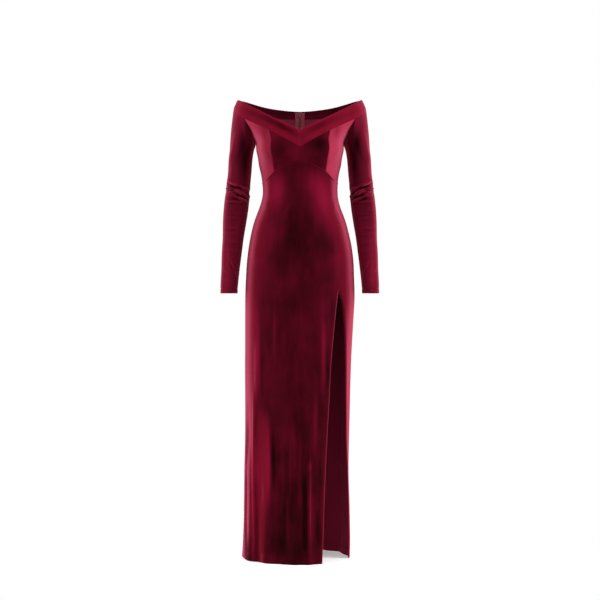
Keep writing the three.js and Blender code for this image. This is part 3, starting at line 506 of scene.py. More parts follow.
def polar(side: int, bearing: Array, reach: Array, z: Array) -> Array:
    """Points given by bearing, reach and height on one side."""
    turn = np.radians(bearing)
    return np.stack([side * reach * np.sin(turn), -reach * np.cos(turn), z + 0 * turn], axis=-1)


def crossing(column: Callable[[Array], Array], seam: Callable[[Array], Array], like: Array,
             rounds: int = 60) -> Array:
    """Heights at which upright columns cross a seam.

    Args:
        column: Angle of the columns by height.
        seam: Height of the seam by angle.
        like: An array shaped as the columns.
        rounds: How many times the height is drawn nearer.

    Returns:
        The height at which each column crosses.
    """
    z = np.zeros_like(like, dtype=float)
    for _ in range(rounds):
        z = seam(column(z))
    return z


def front_top(angle: Array) -> Array:
    """Height of the front pieces' upper edge by angle, the neck seam and then the armhole."""
    turn = np.abs(angle)
    return np.where(turn <= FRONT_JUNCTION, FRONT_TOP.at(turn, "z"), FRONT_ARMHOLE.at(turn, "z"))


def back_top(angle: Array) -> Array:
    """Height of the back pieces' upper edge by angle, the armhole and then the neck seam."""
    turn = np.abs(angle)
    return np.where(turn <= BACK_JUNCTION, BACK_ARMHOLE.at(turn, "z"), BACK_TOP.at(turn, "z"))


def waist(angle: Array) -> Array:
    """Height of the under-bust seam by angle."""
    return WAIST_ARCH.at(np.abs(angle), "z")


def stations(start: float, end: float, step: float, extra: Sequence[float] = ()) -> Array:
    """Places along a run, close together at both ends.

    Args:
        start: Where the run starts.
        end: Where it ends.
        step: Distance between the places in the middle.
        extra: More places, as distances from the end.

    Returns:
        The places in order from start to end.
    """
    length = abs(end - start)
    near = np.array(NEAR_EDGE) * min(1.0, NEAR_SHARE * length / NEAR_EDGE[-1])
    count = max(2, round((length - 2 * near[-1]) / step))
    middle = np.linspace(near[-1], length - near[-1], count + 1)[1:-1]
    places = np.concatenate([near, middle, length - near, length - np.array(extra, float)])
    places = np.unique(np.round(places, 4))
    keep = np.concatenate([[True], np.diff(places) > LEAST_GAP])
    return start + math.copysign(1.0, end - start) * places[keep]


def arc(points: Array, axis: int) -> Array:
    """Distance run along a grid of points from its first row or column.

    Args:
        points: Grid of points.
        axis: 0 down the columns, 1 along the rows.

    Returns:
        The distance of every point.
    """
    steps = np.linalg.norm(np.diff(points, axis=axis), axis=-1)
    start = np.zeros_like(np.take(steps, [0], axis=axis))
    return np.concatenate([start, np.cumsum(steps, axis=axis)], axis=axis)


# Over this height on each side a seam turns into a folded edge.
FOLD_BLEND = 3.0


@dataclass(frozen=True)
class Border:
    """How one border of a panel is finished along its run.

    Attributes:
        groove: Depth of the soft groove where it is seamed.
        fold_low: Below this height it is seamed.
        fold_high: Above this height it is seamed; between the two it is a folded free edge.
        roll: How far the folded edge rolls inwards.
        roll_width: Width of the roll.
        lip: Height of the soft ridge that the pressed seam allowance raises beside the seam.
    """

    groove: float = 0.5
    fold_low: float = FAR
    fold_high: float = FAR
    roll: float = 0.0
    roll_width: float = 5.0
    lip: float = 0.0

    def folded(self, z: Array) -> Array:
        """Share of fold against seam at heights, 1 where the edge is free."""
        above = smooth(self.fold_low - FOLD_BLEND, self.fold_low + FOLD_BLEND, z)
        return above * (1 - smooth(self.fold_high - FOLD_BLEND, self.fold_high + FOLD_BLEND, z))


SEAM = Border()
FLAT_SEAM = Border(groove=0.22)
CORNER_SEAM = Border(groove=0.25)
WAIST_SEAM = Border(groove=0.9, lip=0.9)
FOLD = Border(fold_low=-FAR)
ZIP_EDGE = Border(fold_low=ZIP_END, roll=0.7, roll_width=3.0)
BAND_END = Border(fold_low=-FAR, roll=0.7, roll_width=3.0)
SLIT_EDGE = Border(groove=0.22, fold_low=-FAR, fold_high=SLIT_TOP, roll=2.2, roll_width=7.0)
# Distance of a seam's ridge from the seam, half its width, and the groove's width.
LIP_PLACE = 3.4
LIP_WIDTH = 1.5
GROOVE_WIDTH = 1.7
# The step at a turned hem's edge, and the stitched groove below it.
HEM_STEP = 0.7
HEM_GROOVE = 0.35
HEM_GROOVE_DROP = 1.2
HEM_GROOVE_WIDTH = 0.9
# Where a seam allowance ends inside, its thickness, and how round a folded edge is.
SEAM_ALLOWANCE = (7.8, 9.4)
ALLOWANCE_CLOTH = 0.6
ROUND_SHARE = 0.96
# Name of the attribute for the painted highlight on crease tops and painted shade in their hollows, and
# its full height.
CREASE_SHADE_ATTRIBUTE = "crest"
CREASE_SHADE_FULL_HEIGHT = 2.6


@dataclass
class Panel:
    """One cut piece of cloth, as a grid of points on its outer face.

    Attributes:
        name: The piece's name.
        node: The solid that it stands for.
        base: The grid, rows from top to bottom.
        relief: How far creases move the cloth.
        normal: Outward normals.
        borders: Finish of the top, the bottom, the first and the last column.
        cloth: Its thickness.
        closed: Whether the columns run all the way round.
        hem: Depth of the turned hem.
        turned: Extra thickness of the hem.
        held: How the cloth is held.
        crease: Heights for the painted highlight and shade of creases, if they aren't the relief's.
    """

    name: str
    node: str
    base: Array
    relief: Array
    normal: Array
    borders: tuple[Border, Border, Border, Border]
    cloth: float = 1.8
    closed: bool = False
    hem: float = 0.0
    # held: How the cloth is held; not used.
    turned: float = 0.8
    held: str = "hung"
    crease: Array | None = None

    def distances(self) -> tuple[Array, Array, Array, Array]:
        """Distance of every point from the top, the bottom, the first and the last column."""
        down, along = arc(self.base, 0), arc(self.base, 1)
        return down, down[-1:] - down, along, along[:, -1:] - along

    def faces_of_cloth(self) -> tuple[Array, Array]:
        """Sets the finished cloth's two faces off the base.

        Returns:
            Points of the outer face and of the inner face.
        """
        z = self.base[..., 2]
        cloth = np.full(z.shape, self.cloth)
        outer, inner = self.relief.copy(), self.relief.copy()
        down, up, first, last = self.distances()
        if self.hem:
            turned = 1 - smooth(self.hem - HEM_STEP, self.hem + HEM_STEP, up)
            cloth = cloth + self.turned * turned
            outer -= HEM_GROOVE * bell((up - self.hem + HEM_GROOVE_DROP) / HEM_GROOVE_WIDTH)
        allowance = np.zeros(z.shape)
        rounded = np.zeros(z.shape)
        runs = [(self.borders[0], down), (self.borders[1], up)]
        if not self.closed:
            runs += [(self.borders[2], first), (self.borders[3], last)]
        for border, distance in runs:
            folded = border.folded(z)
            groove = (1 - folded) * border.groove * np.exp(-(distance / GROOVE_WIDTH) ** 2)
            roll = folded * border.roll * np.clip(1 - distance / border.roll_width, 0, 1) ** 2
            outer -= groove + roll - (1 - folded) * border.lip * bell((distance - LIP_PLACE) / LIP_WIDTH)
            inner -= groove + roll
            allowance = np.maximum(allowance, (1 - folded) * (1 - smooth(*SEAM_ALLOWANCE, distance)))
            radius = cloth / 2
            inside = np.clip(radius - distance, 0, radius)
            drop = radius - np.sqrt(np.maximum(radius**2 - inside**2, 0))
            rounded = np.maximum(rounded, folded * ROUND_SHARE * drop)
        inner -= cloth + ALLOWANCE_CLOTH * allowance * (rounded == 0)
        outer -= rounded
        inner += rounded
        return (self.base + self.normal * outer[..., None], self.base + self.normal * inner[..., None])

    def flat_size(self) -> tuple[float, float, float]:
        """Measures the cut along the face.

        Returns:
            Its width and length in metres and its area in square metres.
        """
        points = self.base * MM
        if self.closed:
            points = np.concatenate([points, points[:, :1]], axis=1)
        width, length = arc(points, 1)[:, -1].max(), arc(points, 0)[-1].max()
        corner, right, lower = points[:-1, :-1], points[:-1, 1:], points[1:, :-1]
        opposite = points[1:, 1:]
        area = np.linalg.norm(np.cross(right - corner, lower - corner), axis=-1).sum() / 2
        area += np.linalg.norm(np.cross(right - opposite, lower - opposite), axis=-1).sum() / 2
        return round(float(width), 3), round(float(length), 3), float(area)

    def shell(self, outside: bpy.types.Material, inside: bpy.types.Material) -> bpy.types.Object:
        """Makes the closed shell of the cloth.

        Args:
            outside: Material of the outer face.
            inside: Material of the inner face.

        Returns:
            The new object, at the origin.
        """
        outer, inner = self.faces_of_cloth()
        row_count, column_count = outer.shape[:2]
        layer = row_count * column_count
        number = np.arange(layer).reshape(row_count, column_count)
        if self.closed:
            number = np.concatenate([number, number[:, :1]], axis=1)
        a, b = number[:-1, :-1].ravel(), number[1:, :-1].ravel()
        c, d = number[1:, 1:].ravel(), number[:-1, 1:].ravel()
        quads = [np.stack([a, b, c, d], 1), np.stack([a, d, c, b], 1) + layer]
        rims = [(number[0, ::-1], 0), (number[-1], 1)]
        if not self.closed:
            rims += [(number[:, 0], 2), (number[::-1, -1], 3)]
        for run, _ in rims:
            quads.append(np.stack([run[:-1], run[:-1] + layer, run[1:] + layer, run[1:]], 1))
        faces = np.concatenate(quads)
        points = np.concatenate([outer.reshape(-1, 3), inner.reshape(-1, 3)]) * MM
        if signed_volume(points, faces) < 0:
            faces = faces[:, ::-1]
        mesh = bpy.data.meshes.new(self.name)
        mesh.from_pydata(points.tolist(), [], faces.tolist())
        mesh.materials.append(outside)
        mesh.materials.append(inside)
        kinds = np.zeros(len(faces), np.int32)
        kinds[len(quads[0]):2 * len(quads[0])] = 1
        mesh.polygons.foreach_set("material_index", kinds)
        mesh.polygons.foreach_set("use_smooth", np.ones(len(faces), bool))
        self.lay_out(mesh, layer)
        # Painted highlight on crease tops and painted shade in their hollows, for the material.
        crest = np.tile(self.crests().ravel(), 2)
        mesh.attributes.new(CREASE_SHADE_ATTRIBUTE, "FLOAT", "POINT").data.foreach_set("value", crest)
        self.crisp_seams(mesh, rims, layer)
        obj = bpy.data.objects.new(self.name, mesh)
        bpy.context.scene.collection.objects.link(obj)
        return obj

    def crests(self) -> Array:
        """How high each point stands on a crease or seam ridge, for painted highlight and shade.

        Returns:
            Heights from -1 to 1.
        """
        z = self.base[..., 2]
        raised = self.relief if self.crease is None else self.crease
        for border, distance in zip(self.borders, self.distances()):
            ridge = border.lip * bell((distance - LIP_PLACE) / LIP_WIDTH)
            raised = raised + (1 - border.folded(z)) * ridge
        return np.clip(raised / CREASE_SHADE_FULL_HEIGHT, -1, 1)

    def lay_out(self, mesh: bpy.types.Mesh, layer: int) -> None:
        """Gives the cloth a UV map in metres, along the grain and across it.

        Args:
            mesh: The shell's mesh.
            layer: How many points one face of the cloth has.
        """
        _, up, first, _ = self.distances()
        flat = np.stack([first, up], axis=-1).reshape(-1, 2) * MM
        corners = np.zeros(len(mesh.loops), np.int32)
        mesh.loops.foreach_get("vertex_index", corners)
        mesh.uv_layers.new(name="cloth").data.foreach_set("uv", flat[corners % layer].ravel())

    def crisp_seams(self, mesh: bpy.types.Mesh, rims: list[tuple[Array, int]], layer: int) -> None:
        """Marks the edges of seamed borders sharp, so that the face shades smoothly up to them.

        Args:
            mesh: The shell's mesh.
            rims: Point numbers along each border, and the border's place in borders.
            layer: How many points one face of the cloth has.
        """
        on_border = np.zeros((4, 2 * layer), bool)
        z = self.base[..., 2].ravel()
        for run, place in rims:
            seamed = run[self.borders[place].folded(z[run]) < 0.5]
            on_border[place, seamed] = True
            on_border[place, seamed + layer] = True
        ends = np.zeros(2 * len(mesh.edges), np.int32)
        mesh.edges.foreach_get("vertices", ends)
        low, high = ends.reshape(-1, 2).T
        sharp = np.any(on_border[:, low] & on_border[:, high], axis=0)
        mesh.attributes.new("sharp_edge", "BOOLEAN", "EDGE").data.foreach_set("value", sharp)


def signed_volume(points: Array, faces: Array) -> float:
    """Six times a closed mesh's volume, below zero if its quads point inwards."""
    a, b, c, d = (points[faces[:, k]] for k in range(4))
    return float((np.sum(a * np.cross(b, c), 1) + np.sum(a * np.cross(c, d), 1)).sum())


def grid_normals(points: Array, closed: bool, towards: Array) -> Array:
    """Normals of a grid of points, on the side that another grid of vectors points to.

    Args:
        points: The grid.
        closed: Whether its columns run all the way round.
        towards: A vector for each point that leads outwards.

    Returns:
        Unit normals.
    """
    if closed:
        along = np.roll(points, -1, axis=1) - np.roll(points, 1, axis=1)
    else:
        along = np.gradient(points, axis=1)
    return facing(np.cross(along, np.gradient(points, axis=0)), towards)


@dataclass(frozen=True)
class BodyPattern:
    """Outline of a panel on the body.

    Attributes:
        node: The solid that it is cut for.
        start: Angle of its first upright edge by height.
        end: Angle of its last upright edge by height.
        borders: Finish of the top, the bottom, the first and the last column.
        pins: Angles and heights that a column has to pass through.
    """

    node: str
    start: Callable[[Array], Array]
    end: Callable[[Array], Array]
    borders: tuple[Border, Border, Border, Border]
    pins: tuple[tuple[float, float], ...] = ()

    def column(self, share: Array) -> Callable[[Array], Array]:
        """Angle by height of the columns at shares of the way across."""
        return lambda z: self.start(z) + share * (self.end(z) - self.start(z))

    def shares(self, form: BodyForm, z: float, step: float) -> Array:
        """Shares of the columns, set by distances along the face at one height.

        Args:
            form: The face.
            z: The height at which the panel's width is measured.
            step: Distance between columns in its middle.

        Returns:
            The shares from 0 to 1.
        """
        level = np.array([z])
        even = np.linspace(0, 1, WIDTH_POINTS)
        points = form.point(self.column(even)(level + 0 * even), z + 0 * even)
        run = arc(points[None], 1)[0]
        shares = np.interp(stations(0, run[-1], step), run, even)
        for angle, height in self.pins:
            low, high = self.start(np.array(height)), self.end(np.array(height))
            pin = float((angle - low) / (high - low))
            shares[np.argmin(np.abs(shares - pin))] = pin
        return shares


def hem_rows(hem: float) -> tuple[float, float, float]:
    """Distances from the end at which rows stand close round the edge of a turned hem."""
    return hem - HEM_ROW_GAP, hem, hem + HEM_ROW_GAP


def skirt_rows(step: float, clear: float = 2.0) -> Array:
    """Nominal heights of the skirt's rows; one lies exactly on the top of the slit.

    Args:
        step: Distance between rows in the middle.
        clear: How far other rows keep off the top of the slit.

    Returns:
        The heights from top to bottom.
    """
    upper = stations(NOMINAL_WAIST, SLIT_TOP, step)
    upper = upper[upper > SLIT_TOP + clear]
    lower = stations(SLIT_TOP, HEM, step, hem_rows(SKIRT_HEM))
    lower = lower[(lower == SLIT_TOP) | (lower < SLIT_TOP - clear)]
    return np.concatenate([upper, lower])


@dataclass
class Bodice:
    """Six pieces from the neck seam to the under-bust seam: four cups and two backs.

    Attributes:
        form: The body's face.
        level: Height at which the columns are spaced.
        column_step: Distance between columns.
        row_step: Distance between rows.
    """

    form: BodyForm
    level: float = -40.0
    column_step: float = 3.6
    row_step: float = 3.6

    def patterns(self, side: Side) -> list[tuple[BodyPattern, Callable[[Array], Array]]]:
        """Outlines of one side's pieces.

        Args:
            side: The side.

        Returns:
            Each outline, with the height of the piece's top by angle.
        """
        sign = side.value

        def cup_seam(z: Array) -> Array:
            """Angle of the seam between the cups by height."""
            return sign * CUP_SEAM.at(z, "angle")

        def constant(angle: float) -> Callable[[Array], Array]:
            """An upright edge that keeps to one angle."""
            return lambda z: sign * angle + 0 * z

        junction = ((sign * FRONT_JUNCTION, float(FRONT_TOP.at(FRONT_JUNCTION, "z"))),)
        back_junction = ((sign * BACK_JUNCTION, float(BACK_TOP.at(BACK_JUNCTION, "z"))),)
        return [
            (BodyPattern(f"cup_centre_{side.word}", constant(0), cup_seam,
                         (SEAM, SEAM, SEAM, SEAM)), front_top),
            (BodyPattern(f"cup_side_{side.word}", cup_seam, constant(90),
                         (SEAM, SEAM, SEAM, SEAM), junction), front_top),
            (BodyPattern(f"bodice_back_{side.word}", constant(90), constant(180),
                         (SEAM, SEAM, SEAM, ZIP_EDGE), back_junction), back_top),
        ]

    def panels(self) -> list[Panel]:
        """All six pieces as grids."""
        return [self.panel(pattern, top) for side in Side for pattern, top in self.patterns(side)]

    def panel(self, pattern: BodyPattern, top: Callable[[Array], Array]) -> Panel:
        """One piece as a grid.

        Args:
            pattern: Its outline.
            top: Height of its top by angle.

        Returns:
            The panel.
        """
        shares = pattern.shares(self.form, self.level, self.column_step)
        column = pattern.column(shares)
        upper, lower = crossing(column, top, shares), crossing(column, waist, shares)
        height = float(np.mean(upper - lower))
        parts = stations(0, height, self.row_step) / height
        z = upper + (lower - upper) * parts[:, None]
        angle = column(z)
        relief = sum(crease.out(np.abs(angle), z, BODY_RADIUS) for crease in BODICE_CREASES)
        return Panel(
            name=f"{pattern.node}_cloth", node=pattern.node, base=self.form.point(angle, z),
            relief=relief, normal=self.form.normal(angle, z), borders=pattern.borders,
            held="stretched")


@dataclass
class Skirt:
    """Five panels from the under-bust seam to the hem, with the slit in the left front seam.

    Attributes:
        form: The body's face.
        level: Height at which the columns are spaced.
        column_step: Distance between columns.
        row_step: Distance between rows.
    """

    form: BodyForm
    level: float = -760.0
    column_step: float = 2.8
    row_step: float = 8.5

    def edge(self, column: str, side: int) -> Callable[[Array], Array]:
        """Angle by height of an upright seam given by its distance from the centre plane.

        Args:
            column: Its column of distances.
            side: The sign of X on its side.

        Returns:
            The seam.
        """
        def angle(z: Array) -> Array:
            """The seam's angle at heights; below the slit's top it is that edge of the slit.

            Args:
                z: The heights.

            Returns:
                The angles.
            """
            distance = SKIRT_EDGES.at(z, "princess")
            if column != "princess":
                distance = np.where(z < SLIT_TOP, SKIRT_EDGES.at(z, column), distance)
            return self.form.angle_at(distance, z, side)
        return angle

    def side_seam(self, side: Side) -> Callable[[Array], Array]:
        """Angle by height of a side seam."""
        return lambda z: side.value * SKIRT_EDGES.at(z, f"side_{side.word}")

    def patterns(self) -> list[BodyPattern]:
        """Outlines of the five panels.

        Returns:
            The outlines.
        """
        right, left = Side.RIGHT, Side.LEFT
        princess = self.edge("princess", right.value)
        inner, outer = self.edge("slit_inner", left.value), self.edge("slit_outer", left.value)
        return [
            BodyPattern("skirt_front_centre", princess, inner,
                        (WAIST_SEAM, FOLD, FLAT_SEAM, SLIT_EDGE)),
            BodyPattern("skirt_front_side_right", self.side_seam(right), princess,
                        (WAIST_SEAM, FOLD, SEAM, FLAT_SEAM)),
            BodyPattern("skirt_front_side_left", outer, self.side_seam(left),
                        (WAIST_SEAM, FOLD, SLIT_EDGE, SEAM)),
            BodyPattern("skirt_back_right", lambda z: -180 + 0 * z, self.side_seam(right),
                        (SEAM, FOLD, ZIP_EDGE, SEAM)),
            BodyPattern("skirt_back_left", self.side_seam(left), lambda z: 180 + 0 * z,
                        (SEAM, FOLD, SEAM, ZIP_EDGE)),
        ]

    def panels(self) -> list[Panel]:
        """All five panels as grids."""
        return [self.panel(pattern) for pattern in self.patterns()]

    def panel(self, pattern: BodyPattern) -> Panel:
        """One panel as a grid.

        Args:
            pattern: Its outline.

        Returns:
            The panel.
        """
        shares = pattern.shares(self.form, self.level, self.column_step)
        column = pattern.column(shares)
        top = crossing(column, waist, shares)
        rows = skirt_rows(self.row_step)[:, None]
        yoke = np.clip((rows - YOKE_END) / (NOMINAL_WAIST - YOKE_END), 0, 1)
        z = rows + (top - NOMINAL_WAIST) * yoke
        angle = column(z)
        relief = sum(crease.out(angle, z, BODY_RADIUS) for crease in SKIRT_CREASES)
        return Panel(
            name=f"{pattern.node}_cloth", node=pattern.node, base=self.form.point(angle, z),
            relief=relief, normal=self.form.normal(angle, z), borders=pattern.borders,
            hem=SKIRT_HEM)


def resample(points: Array, step: float, closed: bool) -> Array:
    """A line of points set evenly along its run.

    Args:
        points: The line.
        step: Wanted distance between the new points.
        closed: Whether the line runs back to its first point.

    Returns:
        The new points; a closed line leaves its first point out at the end.
    """
    if closed:
        points = np.concatenate([points, points[:1]])
    run = arc(points[None], 1)[0]
    places = np.linspace(0, run[-1], round(run[-1] / step) + 1) if closed else stations(0, run[-1], step)
    line = np.stack([np.interp(places, run, points[:, k]) for k in range(3)], axis=-1)
    return line[:-1] if closed else line


@dataclass
class NeckLine:
    """The seam under the band on one side, from the centre front over the arm to the back."""

    form: BodyForm
    side: Side

    def front(self) -> Array:
        """Points of the front neck seam."""
        angle = np.linspace(0, FRONT_JUNCTION, NECK_POINTS)
        return self.form.point(self.side.value * angle, FRONT_TOP.at(angle, "z"))

    def back(self) -> Array:
        """Points of the back neck seam."""
        angle = np.linspace(BACK_JUNCTION, 180, NECK_POINTS)
        return self.form.point(self.side.value * angle, BACK_TOP.at(angle, "z"))

    def over_arm(self) -> Array:
        """Seam between the band and the sleeve.

        Returns:
            Its points, without its ends.
        """
        ends = [self.front()[-1], self.back()[0]]
        joins = [(bearing_of(end), math.hypot(end[0], end[1]), end[2]) for end in ends]
        table = Table(("bearing", "reach", "z"), (joins[0], *BAND_OVER_ARM, joins[1]))
        bearing = np.linspace(joins[0][0], joins[1][0], NECK_POINTS)[1:-1]
        return polar(self.side.value, bearing, table.at(bearing, "reach"), table.at(bearing, "z"))

    def armhole(self) -> Array:
        """The armhole seam.

        Returns:
            Its points, from the back under the arm to the front.
        """
        back = np.linspace(BACK_JUNCTION, 90, ARMHOLE_POINTS)[1:]
        front = np.linspace(90, FRONT_JUNCTION, ARMHOLE_POINTS)[1:-1]
        return np.concatenate([
            self.form.point(self.side.value * back, BACK_ARMHOLE.at(back, "z")),
            self.form.point(self.side.value * front, FRONT_ARMHOLE.at(front, "z"))])


def bearing_of(point: Array) -> Array:
    """Bearing of points round the body's axis, the same on both sides."""
    return np.degrees(np.arctan2(np.abs(point[..., 0]), -point[..., 1]))


@dataclass
class Band:
    """The folded neckband of one side, with its soft lengthwise ridges.

    Attributes:
        form: The body's face.
        side: The side it is on.
        cloth: Thickness of both layers together.
        puff: How far its middle stands out.
        notch: How far its upper corner is cut back for the slider.
        notch_run: Length of that cut along the band.
        notch_drop: Its depth below the fold.
        settle: Length over which the ridges die away at each end.
        column_step: Distance between columns.
        row_step: Distance between rows.
        sway: How far a ridge wanders up and down, as a share of the band's height.
        sway_waves: How often it does so along the band, in radians.
        fade: How much a ridge sinks on its way.
        fade_waves: How often it does so along the band, in radians.
        ridges: Height in the band, half width and height of each ridge, and how it wanders.
    """

    form: BodyForm
    side: Side
    cloth: float = 3.0
    puff: float = 2.0
    notch: float = 3.2
    notch_run: float = 9.0
    notch_drop: float = 5.0
    settle: float = 9.0
    column_step: float = 3.0
    row_step: float = 2.4
    sway: float = 0.05
    sway_waves: float = 5.1
    fade: float = 0.35
    fade_waves: float = 7.3
    ridges: tuple[tuple[float, float, float, float], ...] = (
        (0.80, 0.11, 0.5, 0.3), (0.56, 0.10, -0.45, 1.7), (0.30, 0.12, 0.6, 3.1),
    )

    def wandering_ridges(self, part: Array, wave: Array) -> Array:
        """How far the ridges move the cloth.

        Args:
            part: Heights in the band, 0 at its seam and 1 at its fold.
            wave: Places along the band, from 0 to 1.

        Returns:
            The moves along the normal.
        """
        return sum(
            rise * bell((part - place - self.sway * np.sin(self.sway_waves * wave + turn)) / width)
            * (1 - self.fade + self.fade * np.sin(self.fade_waves * wave + 2 * turn))
            for place, width, rise, turn in self.ridges)

    def panel(self) -> Panel:
        """The band as a grid, from its folded upper edge down to its seam.

        Returns:
            The panel.
        """
        line = NeckLine(self.form, self.side)
        seam = np.concatenate([line.front(), line.over_arm(), line.back()])
        low = resample(seam, self.column_step, False)
        bearing = bearing_of(low)
        high = polar(self.side.value, bearing, BAND_TOP.at(bearing, "reach"), BAND_TOP.at(bearing, "z"))
        flat = facing(np.cross(np.gradient(low, axis=0), high - low), low * np.array([1, 1, 0]))
        flat[[0, -1], 0] = 0
        flat = unit(flat)
        height = float(np.linalg.norm(high - low, axis=-1).mean())
        part = (stations(height, 0, self.row_step) / height)[:, None, None]
        base = low + (high - low) * part + flat * self.puff * np.sin(np.pi * part)
        normal = unit(flat + 0 * base)
        run = arc(low[None], 1)[0]
        left = run[-1] - run
        along_cut = np.clip(1 - left / self.notch_run, 0, 1)
        down_cut = np.clip(1 - (1 - part[..., 0]) * height / self.notch_drop, 0, 1)
        base[..., 0] += self.side.value * self.notch * along_cut * down_cut
        relief = self.wandering_ridges(part[..., 0], run / run[-1])
        relief = relief * smooth(0, self.settle, run) * smooth(0, self.settle, left)
        return Panel(
            name=f"band_{self.side.word}_cloth", node=f"band_{self.side.word}", base=base,
            relief=relief, normal=normal, cloth=self.cloth, held="stretched",
            borders=(FOLD, SEAM, SEAM, BAND_END))


@dataclass
class Sleeve:
    """A long sleeve, from the band and the armhole down to its turned hem.

    Attributes:
        form: The body's face.
        side: The side it is on.
        blend: Length over which the tube is drawn to the armhole.
        column_step: Distance between columns.
        row_step: Distance between rows.
        elbow: Lowest and highest height of the creased elbow.
        elbow_step: Distance between rows there.
        lap: How far its edge laps into the body's cloth along the armhole.
        lap_width: Length over which the lap fades.
        lap_end: Length over which the lap starts and ends along the edge.
        settle: Length below its edge over which the creases start.
        hem_line: Depth of the line where the hem is stitched.
        hem_line_width: Half the width of that line.
    """

    form: BodyForm
    side: Side
    blend: float = 90.0
    column_step: float = 2.4
    row_step: float = 3.2
    elbow: tuple[float, float] = (-206.0, -104.0)
    elbow_step: float = 1.5
    lap: float = 1.3
    lap_width: float = 2.4
    lap_end: float = 5.0
    settle: float = 14.0
    hem_line: float = 0.6
    hem_line_width: float = 1.3

    def under_arm(self, neck: Array, loop: Array) -> Array:
        """Where the sleeve's edge is sewn to the body.

        Args:
            neck: The part of its edge that is sewn to the band.
            loop: The whole edge, from the same first point.

        Returns:
            1 along the armhole, 0 along the band.
        """
        over = arc(neck[None], 1)[0][-1]
        run = arc(loop[None], 1)[0]
        return smooth(over, over + self.lap_end, run) * smooth(0, self.lap_end, run[-1] - run)

    def elbow_folds(self, angle: Array, z: Array) -> Array:
        """How far the folds at the bend of the elbow move the tube."""
        return sum(fold.out(angle, z) for fold in ELBOW_FOLDS)

    def ring(self, angle: Array, z: Array) -> Array:
        """Points of the tube before it is drawn to the armhole.

        Args:
            angle: Angles round the arm.
            z: Heights.

        Returns:
            The points.
        """
        turn = np.radians(angle)
        inner, outer = ARM_RINGS.at(z, "inner"), ARM_RINGS.at(z, "outer")
        out = self.elbow_folds(angle, z)
        x = (inner + outer) / 2 + ((outer - inner) / 2 + out) * np.sin(turn)
        y = ARM_RINGS.at(z, "middle") - (ARM_RINGS.at(z, "depth") + out) * np.cos(turn)
        return np.stack([self.side.value * x, y, z + 0 * x], axis=-1)

    def panel(self) -> Panel:
        """The sleeve as a closed grid.

        Returns:
            The panel.
        """
        line = NeckLine(self.form, self.side)
        neck = np.concatenate([line.front()[-1:], line.over_arm(), line.back()[:1]])
        loop = resample(np.concatenate([neck, line.armhole()]), self.column_step, True)
        top = loop[:, 2]
        inner, outer = ARM_RINGS.at(top, "inner"), ARM_RINGS.at(top, "outer")
        across = (self.side.value * loop[:, 0] - (inner + outer) / 2) / ((outer - inner) / 2)
        along = (ARM_RINGS.at(top, "middle") - loop[:, 1]) / ARM_RINGS.at(top, "depth")
        angle = np.degrees(np.arctan2(across, along))
        pull = loop - self.ring(angle, top)
        rows = stations(NOMINAL_CAP, CUFF_END, self.row_step, hem_rows(SLEEVE_HEM))
        low, high = self.elbow
        bend = np.arange(high, low, -self.elbow_step)
        rows = np.concatenate([rows[rows > high + 1], bend, rows[rows < low]])[:, None]
        cap = np.clip((rows - CAP_END) / (NOMINAL_CAP - CAP_END), 0, 1)
        z = rows + (top - NOMINAL_CAP) * cap
        angle = angle + 0 * z
        drawn = 1 - smooth(0, self.blend, top - z)
        base = self.ring(angle, z) + pull * drawn[..., None]
        middle = self.side.value * (ARM_RINGS.at(z, "inner") + ARM_RINGS.at(z, "outer")) / 2
        axis = np.stack([middle, ARM_RINGS.at(z, "middle"), z], axis=-1)
        relief = sum(crease.out(angle, z, ARM_RADIUS) for crease in FINE_SLEEVE_CREASES)
        relief = relief * smooth(0, self.settle, top - z)
        lap = self.lap * self.under_arm(neck, loop) * np.exp(-((top - z) / self.lap_width) ** 2)
        hem_line = self.hem_line * bell((z - CUFF_END - SLEEVE_HEM) / self.hem_line_width)
        return Panel(
            name=f"sleeve_{self.side.word}_cloth", node=f"sleeve_{self.side.word}", base=base,
            relief=relief + lap - hem_line, normal=grid_normals(base, True, base - axis), closed=True,
            # Painted highlight and shade also follow the elbow folds, with painted shade along the hem's
            # stitched line.
            crease=relief + self.elbow_folds(angle, z) - 2 * hem_line,
            hem=SLEEVE_HEM, borders=(CORNER_SEAM, FOLD, SEAM, SEAM))


class Socket(Enum):
    """Kinds of node group sockets."""

    FLOAT = "NodeSocketFloat"
    VECTOR = "NodeSocketVector"
    GEOMETRY = "NodeSocketGeometry"
    MATERIAL = "NodeSocketMaterial"


@dataclass
class Wiring:
    """A node tree being wired up."""

    tree: bpy.types.NodeTree

    def add(self, kind: str, **settings: object) -> bpy.types.Node:
        """Adds a node.

        Args:
            kind: Its type.
            **settings: Its properties.

        Returns:
            The node.
        """
        node = self.tree.nodes.new(kind)
        for name, value in settings.items():
            setattr(node, name, value)
        return node

    def join(self, out: bpy.types.NodeSocket, into: bpy.types.NodeSocket) -> None:
        """Links two sockets."""
        self.tree.links.new(out, into)

    def maths(self, operation: str, first: object, second: object = None) -> bpy.types.NodeSocket:
        """Adds a Math node.

        Args:
            operation: Its operation.
            first: A socket or number.
            second: A socket or number, if it needs one.

        Returns:
            Its result.
        """
        node = self.add("ShaderNodeMath", operation=operation)
        for place, value in enumerate((first, second)):
            if isinstance(value, bpy.types.NodeSocket):
                self.join(value, node.inputs[place])
            elif value is not None:
                node.inputs[place].default_value = value
        return node.outputs[0]


